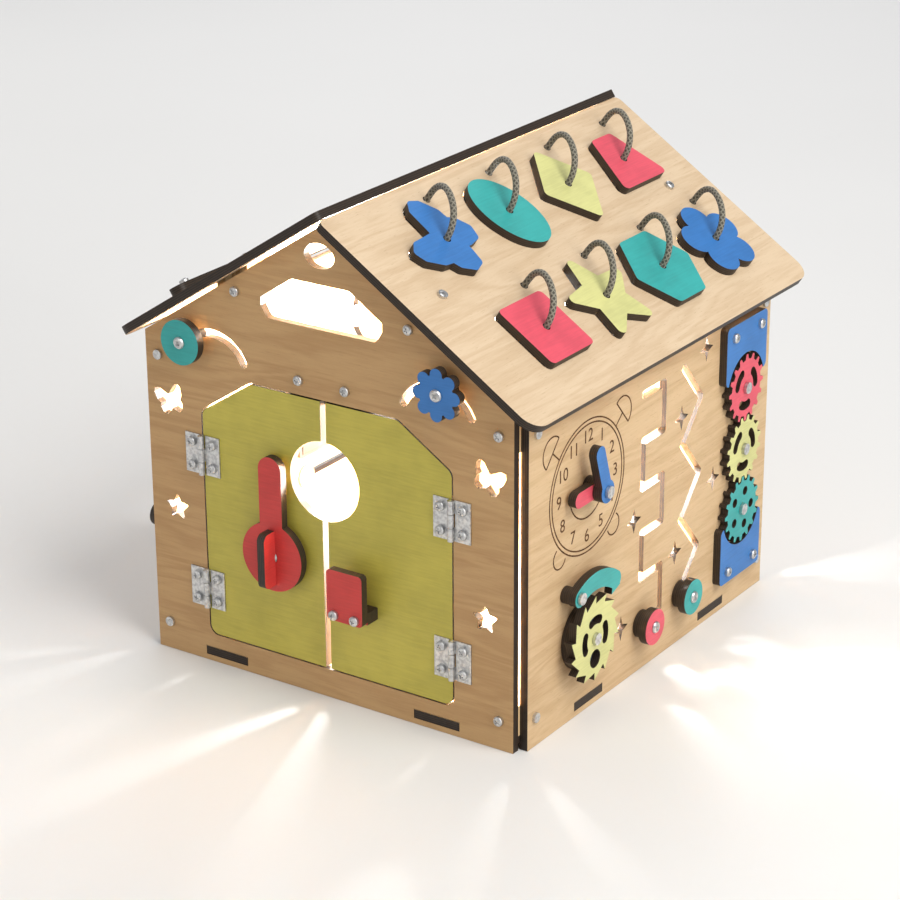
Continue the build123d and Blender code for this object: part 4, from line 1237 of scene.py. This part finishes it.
@dataclass
class LightParts:
    """What sits on the inner light's board and on its battery box, all on the left wall's inner side."""

    chip_bevel: float = 0.15 * MILLIMETRE
    bevel_segments: int = 2
    lamp_reach: tuple[float, float] = mm(15.5, 8.5)
    lamp_size: Point = mm(1.1, 3.4, 3.4)
    lamp_glow: float = 6.0
    resistor_size: Point = mm(0.7, 3.2, 1.6)
    resistor_level: float = 1.0 / 3.0
    driver_size: Point = mm(1.3, 5.0, 6.0)
    driver_level: float = -0.625
    socket_size: Point = mm(3.6, 6.0, 4.6)
    lid_inset: float = 3.0 * MILLIMETRE
    lid_proud: float = 0.8 * MILLIMETRE
    lid_bevel: float = 0.3 * MILLIMETRE
    rib_count: int = 6
    rib_size: Point = mm(0.7, 1.4, 12.0)
    rib_pitch: float = 3.0 * MILLIMETRE
    switch_size: Point = mm(4.0, 9.0, 1.6)
    slider_size: Point = mm(2.2, 3.2, 2.4)
    switch_from_end: float = 11.0 * MILLIMETRE
    chip: Speckled = SolderedPart("board_chip", (0.020, 0.020, 0.022), (0.16, 0.16, 0.15))
    shell: Speckled = SolderedPart("lead_socket", (0.74, 0.72, 0.66), (0.56, 0.54, 0.50))
    knob: Speckled = SolderedPart("switch_knob", (0.66, 0.65, 0.62), (0.50, 0.49, 0.47))

    def block(self, work: bmesh.types.BMesh, size: Point, low: Vector, bevel: float | None = None) -> None:
        """Add a small block with rounded edges.

        Args:
            work: The bmesh that it goes into.
            size: Its sides.
            low: The middle of its side towards the wall, in the row frame.
            bevel: How wide its edges are rounded, where it isn't as on the chips.
        """
        made = bmesh.ops.create_cube(work, size=1.0)["verts"]
        bmesh.ops.scale(work, vec=size, verts=made)
        bmesh.ops.translate(work, vec=low + ACROSS_HOUSE * (size[0] / 2.0), verts=made)
        bmesh.ops.bevel(
            work, geom=list({edge for vertex in made for edge in vertex.link_edges}),
            offset=bevel or self.chip_bevel, segments=self.bevel_segments,
            profile=0.5, affect="EDGES", material=-1,
        )

    def inner_face(self, node: str) -> tuple[Vector, Vector, Vector]:
        """The low corner and the high corner of a node, and the middle of its side away from the wall."""
        low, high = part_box(node)
        return low, high, Vector((high.x, (low.y + high.y) / 2.0, (low.z + high.z) / 2.0))

    def on_board(self) -> None:
        """Make the board's lamps, its driver chip with resistors, and the lead's socket."""
        middle = self.inner_face("light_board")[-1]
        lamps, chips, socket = bmesh.new(), bmesh.new(), bmesh.new()
        across, up = self.lamp_reach
        for side in (-1, 1):
            for level in (-1, 1):
                self.block(lamps, self.lamp_size, middle + Vector((0, side * across, level * up)))
            spot = Vector((0, across, side * up * self.resistor_level))
            self.block(chips, self.resistor_size, middle + spot)
        self.block(chips, self.driver_size, middle + Vector((0, across, up * self.driver_level)))
        lead_low, lead_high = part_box("light_lead")
        _, width, height = self.socket_size
        end = Vector((middle.x, lead_low.y + width / 2.0, lead_high.z + height / 2.0))
        self.block(socket, self.socket_size, end)
        lamp = LampLens("board_lamp", glow=self.lamp_glow)
        rigid_piece("board_lamps", lamps, lamp.material(), "house")
        rigid_piece("board_chips", chips, self.chip.material(), "house")
        rigid_piece("board_socket", socket, self.shell.material(), "house")

    def on_box(self) -> None:
        """Make the battery box's lid with its thumb ribs, and its slide switch."""
        low, high, middle = self.inner_face("battery_box")
        lid, slider = bmesh.new(), bmesh.new()
        inset = 2.0 * self.lid_inset
        plate = (self.lid_proud, high.y - low.y - inset, high.z - low.z - inset)
        self.block(lid, plate, middle, self.lid_bevel)
        face = middle + ACROSS_HOUSE * self.lid_proud
        start = -self.rib_pitch * (self.rib_count - 1) / 2.0
        for number in range(self.rib_count):
            self.block(lid, self.rib_size, face + ALONG_HOUSE * (start + number * self.rib_pitch))
        depth = self.switch_size[0]
        top = Vector(((low.x + high.x - depth) / 2.0, high.y - self.switch_from_end, high.z))
        self.block(lid, self.switch_size, top)
        thick, width, height = self.slider_size
        raised = top + Vector(((depth - thick) / 2.0, width / 2.0, height / 2.0))
        self.block(slider, self.slider_size, raised)
        lid_finish = MouldedPlastic("lid_plastic").material()
        rigid_piece("battery_lid", lid, lid_finish, "house")
        rigid_piece("switch_slider", slider, self.knob.material(), "house")


@dataclass
class EngravedClock:
    """The alarm clock that the laser has drawn on the right wall, behind the hands."""

    line: float = 1.05 * MILLIMETRE
    proud: float = 0.12 * MILLIMETRE
    outer: float = 47.0 * MILLIMETRE
    inner: float = 44.0 * MILLIMETRE
    half_ring: float = 22.0 * MILLIMETRE
    half_start: float = math.radians(185.0)
    half_sweep: float = math.radians(170.0)
    hours: int = 12
    numeral_ring: float = 35.5 * MILLIMETRE
    numeral_height: float = 13.0 * MILLIMETRE
    numeral_resolution: int = 4
    bell_place: float = 58.0 * MILLIMETRE
    bell_angle: float = math.radians(49.0)
    bell_radius: float = 11.5 * MILLIMETRE
    foot_place: float = 52.0 * MILLIMETRE
    foot_angle: float = math.radians(139.0)
    foot_radius: float = 7.5 * MILLIMETRE
    foot_sweep: float = 1.24 * math.pi
    step: float = math.radians(4.0)

    @staticmethod
    def from_top(angle: float) -> Vector:
        """Direction at an angle from the clock's top, to the right."""
        return Vector((math.sin(angle), math.cos(angle), 0.0))

    def arc(self, work: bmesh.types.BMesh, centre: Vector, radius: float, start: float, sweep: float) -> None:
        """Draw an arc of the line's width.

        Args:
            work: The bmesh of the drawing, on its own x and y.
            centre: Middle of the arc.
            radius: Radius of the arc's middle line.
            start: Angle where it starts, from the drawing's x.
            sweep: Angle that it covers.
        """
        heading = Vector((math.cos(start), math.sin(start), 0.0))
        ends = [
            work.verts.new(centre + heading * (radius + side * self.line / 2.0)) for side in (-1, 1)
        ]
        bmesh.ops.spin(
            work, geom=[*ends, work.edges.new(ends)], cent=centre, axis=UP, angle=sweep,
            steps=round(sweep / self.step), use_merge=sweep >= FULL_TURN, use_duplicate=False,
        )

    def stroke(self, work: bmesh.types.BMesh, start: Vector, end: Vector) -> None:
        """Draw a straight line.

        Args:
            work: The bmesh of the drawing.
            start: One end.
            end: The other end.
        """
        side = (end - start).cross(UP).normalized() * (self.line / 2.0)
        first = work.edges.new([work.verts.new(start - side), work.verts.new(start + side)])
        grown = bmesh.ops.extrude_edge_only(work, edges=[first])
        bmesh.ops.translate(work, vec=end - start, verts=vertices_of(grown))

    def bell(self, work: bmesh.types.BMesh, angle: float) -> None:
        """Draw a bell: a half round with its flat side to the clock.

        Args:
            work: The bmesh of the drawing.
            angle: Direction of the bell from the clock's top, to the right.
        """
        out = self.from_top(angle)
        side = Vector((out.y, -out.x, 0.0))
        centre = out * self.bell_place
        facing = math.atan2(out.y, out.x)
        self.arc(work, centre, self.bell_radius, facing - math.pi / 2.0, math.pi)
        self.stroke(work, centre - side * self.bell_radius, centre + side * self.bell_radius)
        self.stroke(work, out * (self.outer + self.line / 2.0), centre)

    def foot(self, work: bmesh.types.BMesh, angle: float) -> None:
        """Draw a foot: a short round hook under the clock.

        Args:
            work: The bmesh of the drawing.
            angle: Direction of the foot from the clock's top, to the right.
        """
        out = self.from_top(angle)
        start = math.atan2(out.y, out.x) - self.foot_sweep / 2.0
        self.arc(work, out * self.foot_place, self.foot_radius, start, self.foot_sweep)

    def numerals(self) -> bmesh.types.BMesh:
        """Set the numerals round the dial.

        Returns:
            Their flat faces on the drawing's own x and y.
        """
        work = bmesh.new()
        for hour in range(1, self.hours + 1):
            text = bpy.data.curves.new(f"numeral_{hour}", "FONT")
            text.body = str(hour)
            text.size = self.numeral_height
            text.align_x = "CENTER"
            text.align_y = "CENTER"
            text.resolution_u = self.numeral_resolution
            mesh = mesh_of(text)
            spot = self.from_top(FULL_TURN * hour / self.hours) * self.numeral_ring
            mesh.transform(Matrix.Translation(spot))
            work.from_mesh(mesh)
            bpy.data.meshes.remove(mesh)
        bmesh.ops.remove_doubles(work, verts=work.verts, dist=MERGE_REACH)
        bmesh.ops.dissolve_degenerate(work, dist=MERGE_REACH, edges=work.edges)
        return work

    def build(self) -> None:
        """Make the engraving as one thin piece on the right wall."""
        work = self.numerals()
        for radius in (self.outer, self.inner):
            self.arc(work, Vector(), radius, 0.0, FULL_TURN)
        self.arc(work, Vector(), self.half_ring, self.half_start, self.half_sweep)
        for side in (-1, 1):
            self.bell(work, side * self.bell_angle)
            self.foot(work, side * self.foot_angle)
        bmesh.ops.recalc_face_normals(work, faces=work.faces)
        for face in work.faces:
            if face.normal.z < 0.0:
                face.normal_flip()
        grown = bmesh.ops.extrude_face_region(work, geom=list(work.faces))
        bmesh.ops.translate(work, vec=UP * self.proud, verts=vertices_of(grown))
        centre = Vector(joint("minute_hand_turn")["pos_m"])
        centre.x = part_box("right_wall")[1].x
        place = frame_at(centre, Lie.RIGHT.outward, ALONG_HOUSE)
        bmesh.ops.transform(work, matrix=place, verts=work.verts)
        rigid_piece("clock_engraving", work, BurntLine().material(), "house")


@dataclass(frozen=True)
class Softbox:
    """A square soft lamp: where it hangs, the length of its side, its power and its colour."""

    name: str
    place: Point
    size: float
    watts: float
    tint: Colour = (1.0, 0.98, 0.95)

    def hang(self, target: Point) -> None:
        """Hang the lamp.

        Args:
            target: The point that it faces.
        """
        data = bpy.data.lights.new(self.name, "AREA")
        data.shape = "SQUARE"
        data.size = self.size
        data.energy = self.watts
        data.color = self.tint
        turned = (Vector(target) - Vector(self.place)).to_track_quat("-Z", "Y")
        made = add_object(self.name, data)
        made.matrix_world = Matrix.Translation(self.place) @ turned.to_matrix().to_4x4()


@dataclass
class Studio:
    """Floor, lamps and camera."""

    floor_size: float = 60.0
    floor_drop: float = 0.2 * MILLIMETRE
    lens: float = 110.2
    sensor: float = 36.0
    camera_place: Point = (1.0189, -1.5245, 0.8660)
    camera_azimuth: float = math.radians(34.12)
    camera_elevation: float = math.radians(21.99)
    camera_roll: float = math.radians(-0.34)
    sky_colour: Colour = (0.80, 0.83, 0.88)
    sky_strength: float = 0.45
    target: Point = (0.0, 0.0, 0.18)
    softboxes: tuple[Softbox, ...] = (
        Softbox("key", (1.6, -0.3, 2.2), 1.6, 55.0),
        Softbox("side", (2.4, -0.6, 0.9), 1.4, 18.0),
        Softbox("front", (-0.9, -2.4, 1.1), 1.6, 9.0, (1.0, 0.95, 0.88)),
        Softbox("back", (-1.2, 2.2, 1.6), 1.6, 20.0, (0.98, 0.98, 1.0)),
        Softbox("left", (-2.4, 0.2, 1.1), 1.4, 14.0),
    )
    inner_lamps: tuple[tuple[str, Point, float], ...] = (
        ("inner_lamp_near", (-0.085, 0.010, 0.195), 13.0),
        ("inner_lamp_far", (0.070, 0.060, 0.185), 15.0),
        ("inner_lamp_low", (0.045, -0.075, 0.085), 2.5),
    )
    inner_size: float = 0.03
    inner_tint: Colour = (0.96, 0.98, 1.0)

    def floor(self) -> None:
        """Lay the floor."""
        work = bmesh.new()
        bmesh.ops.create_grid(work, x_segments=2, y_segments=2, size=self.floor_size / 2.0)
        bmesh.ops.translate(work, vec=UP * -self.floor_drop, verts=work.verts)
        floor = piece("studio_floor", mesh_from(work, "studio_floor"), FloorPaint().material())

    def sky(self) -> None:
        """Light the scene evenly from all round."""
        world = bpy.data.worlds.new("studio")
        world.use_nodes = True
        sky = world.node_tree.nodes["Background"]
        sky.inputs["Color"].default_value = (*self.sky_colour, 1.0)
        sky.inputs["Strength"].default_value = self.sky_strength
        bpy.context.scene.world = world

    def light_inside(self) -> None:
        """Light the inside of the house: by the inner light's lens, from across the room and behind the doors."""
        for name, place, watts in self.inner_lamps:
            data = bpy.data.lights.new(name, "POINT")
            data.energy = watts
            data.shadow_soft_size = self.inner_size
            data.color = self.inner_tint
            add_object(name, data).location = place

    def camera(self) -> None:
        """Place the camera at the photograph's angle."""
        data = bpy.data.cameras.new("camera")
        data.lens = self.lens
        data.sensor_width = self.sensor
        az, el, roll = self.camera_azimuth, self.camera_elevation, self.camera_roll
        ahead = Vector((-math.sin(az) * math.cos(el), math.cos(az) * math.cos(el), -math.sin(el)))
        right = Vector((math.cos(az), math.sin(az), 0.0))
        up = right.cross(ahead)
        turned = right * math.cos(roll) + up * math.sin(roll)
        raised = up * math.cos(roll) - right * math.sin(roll)
        rotation = Matrix((turned, raised, -ahead)).transposed().to_4x4()
        made = add_object("camera", data)
        made.matrix_world = Matrix.Translation(self.camera_place) @ rotation
        bpy.context.scene.camera = made

    def build(self) -> None:
        """Set up the floor, the sky, the lamps and the camera."""
        self.floor()
        self.sky()
        for softbox in self.softboxes:
            softbox.hang(self.target)
        self.light_inside()
        self.camera()
        bpy.context.scene.view_settings.view_transform = "Standard"


def main() -> None:
    """Dress the house, add its small pieces and set up the studio."""
    Studio().build()
    SorterCords().build()
    LightLead().build()
    lights = LightParts()
    lights.on_board()
    lights.on_box()
    Sheets().dress()
    metal = Fittings().dress()
    ScrewHeads(metal).build_all()
    EngravedClock().build()


if __name__ == "__main__":
    main()
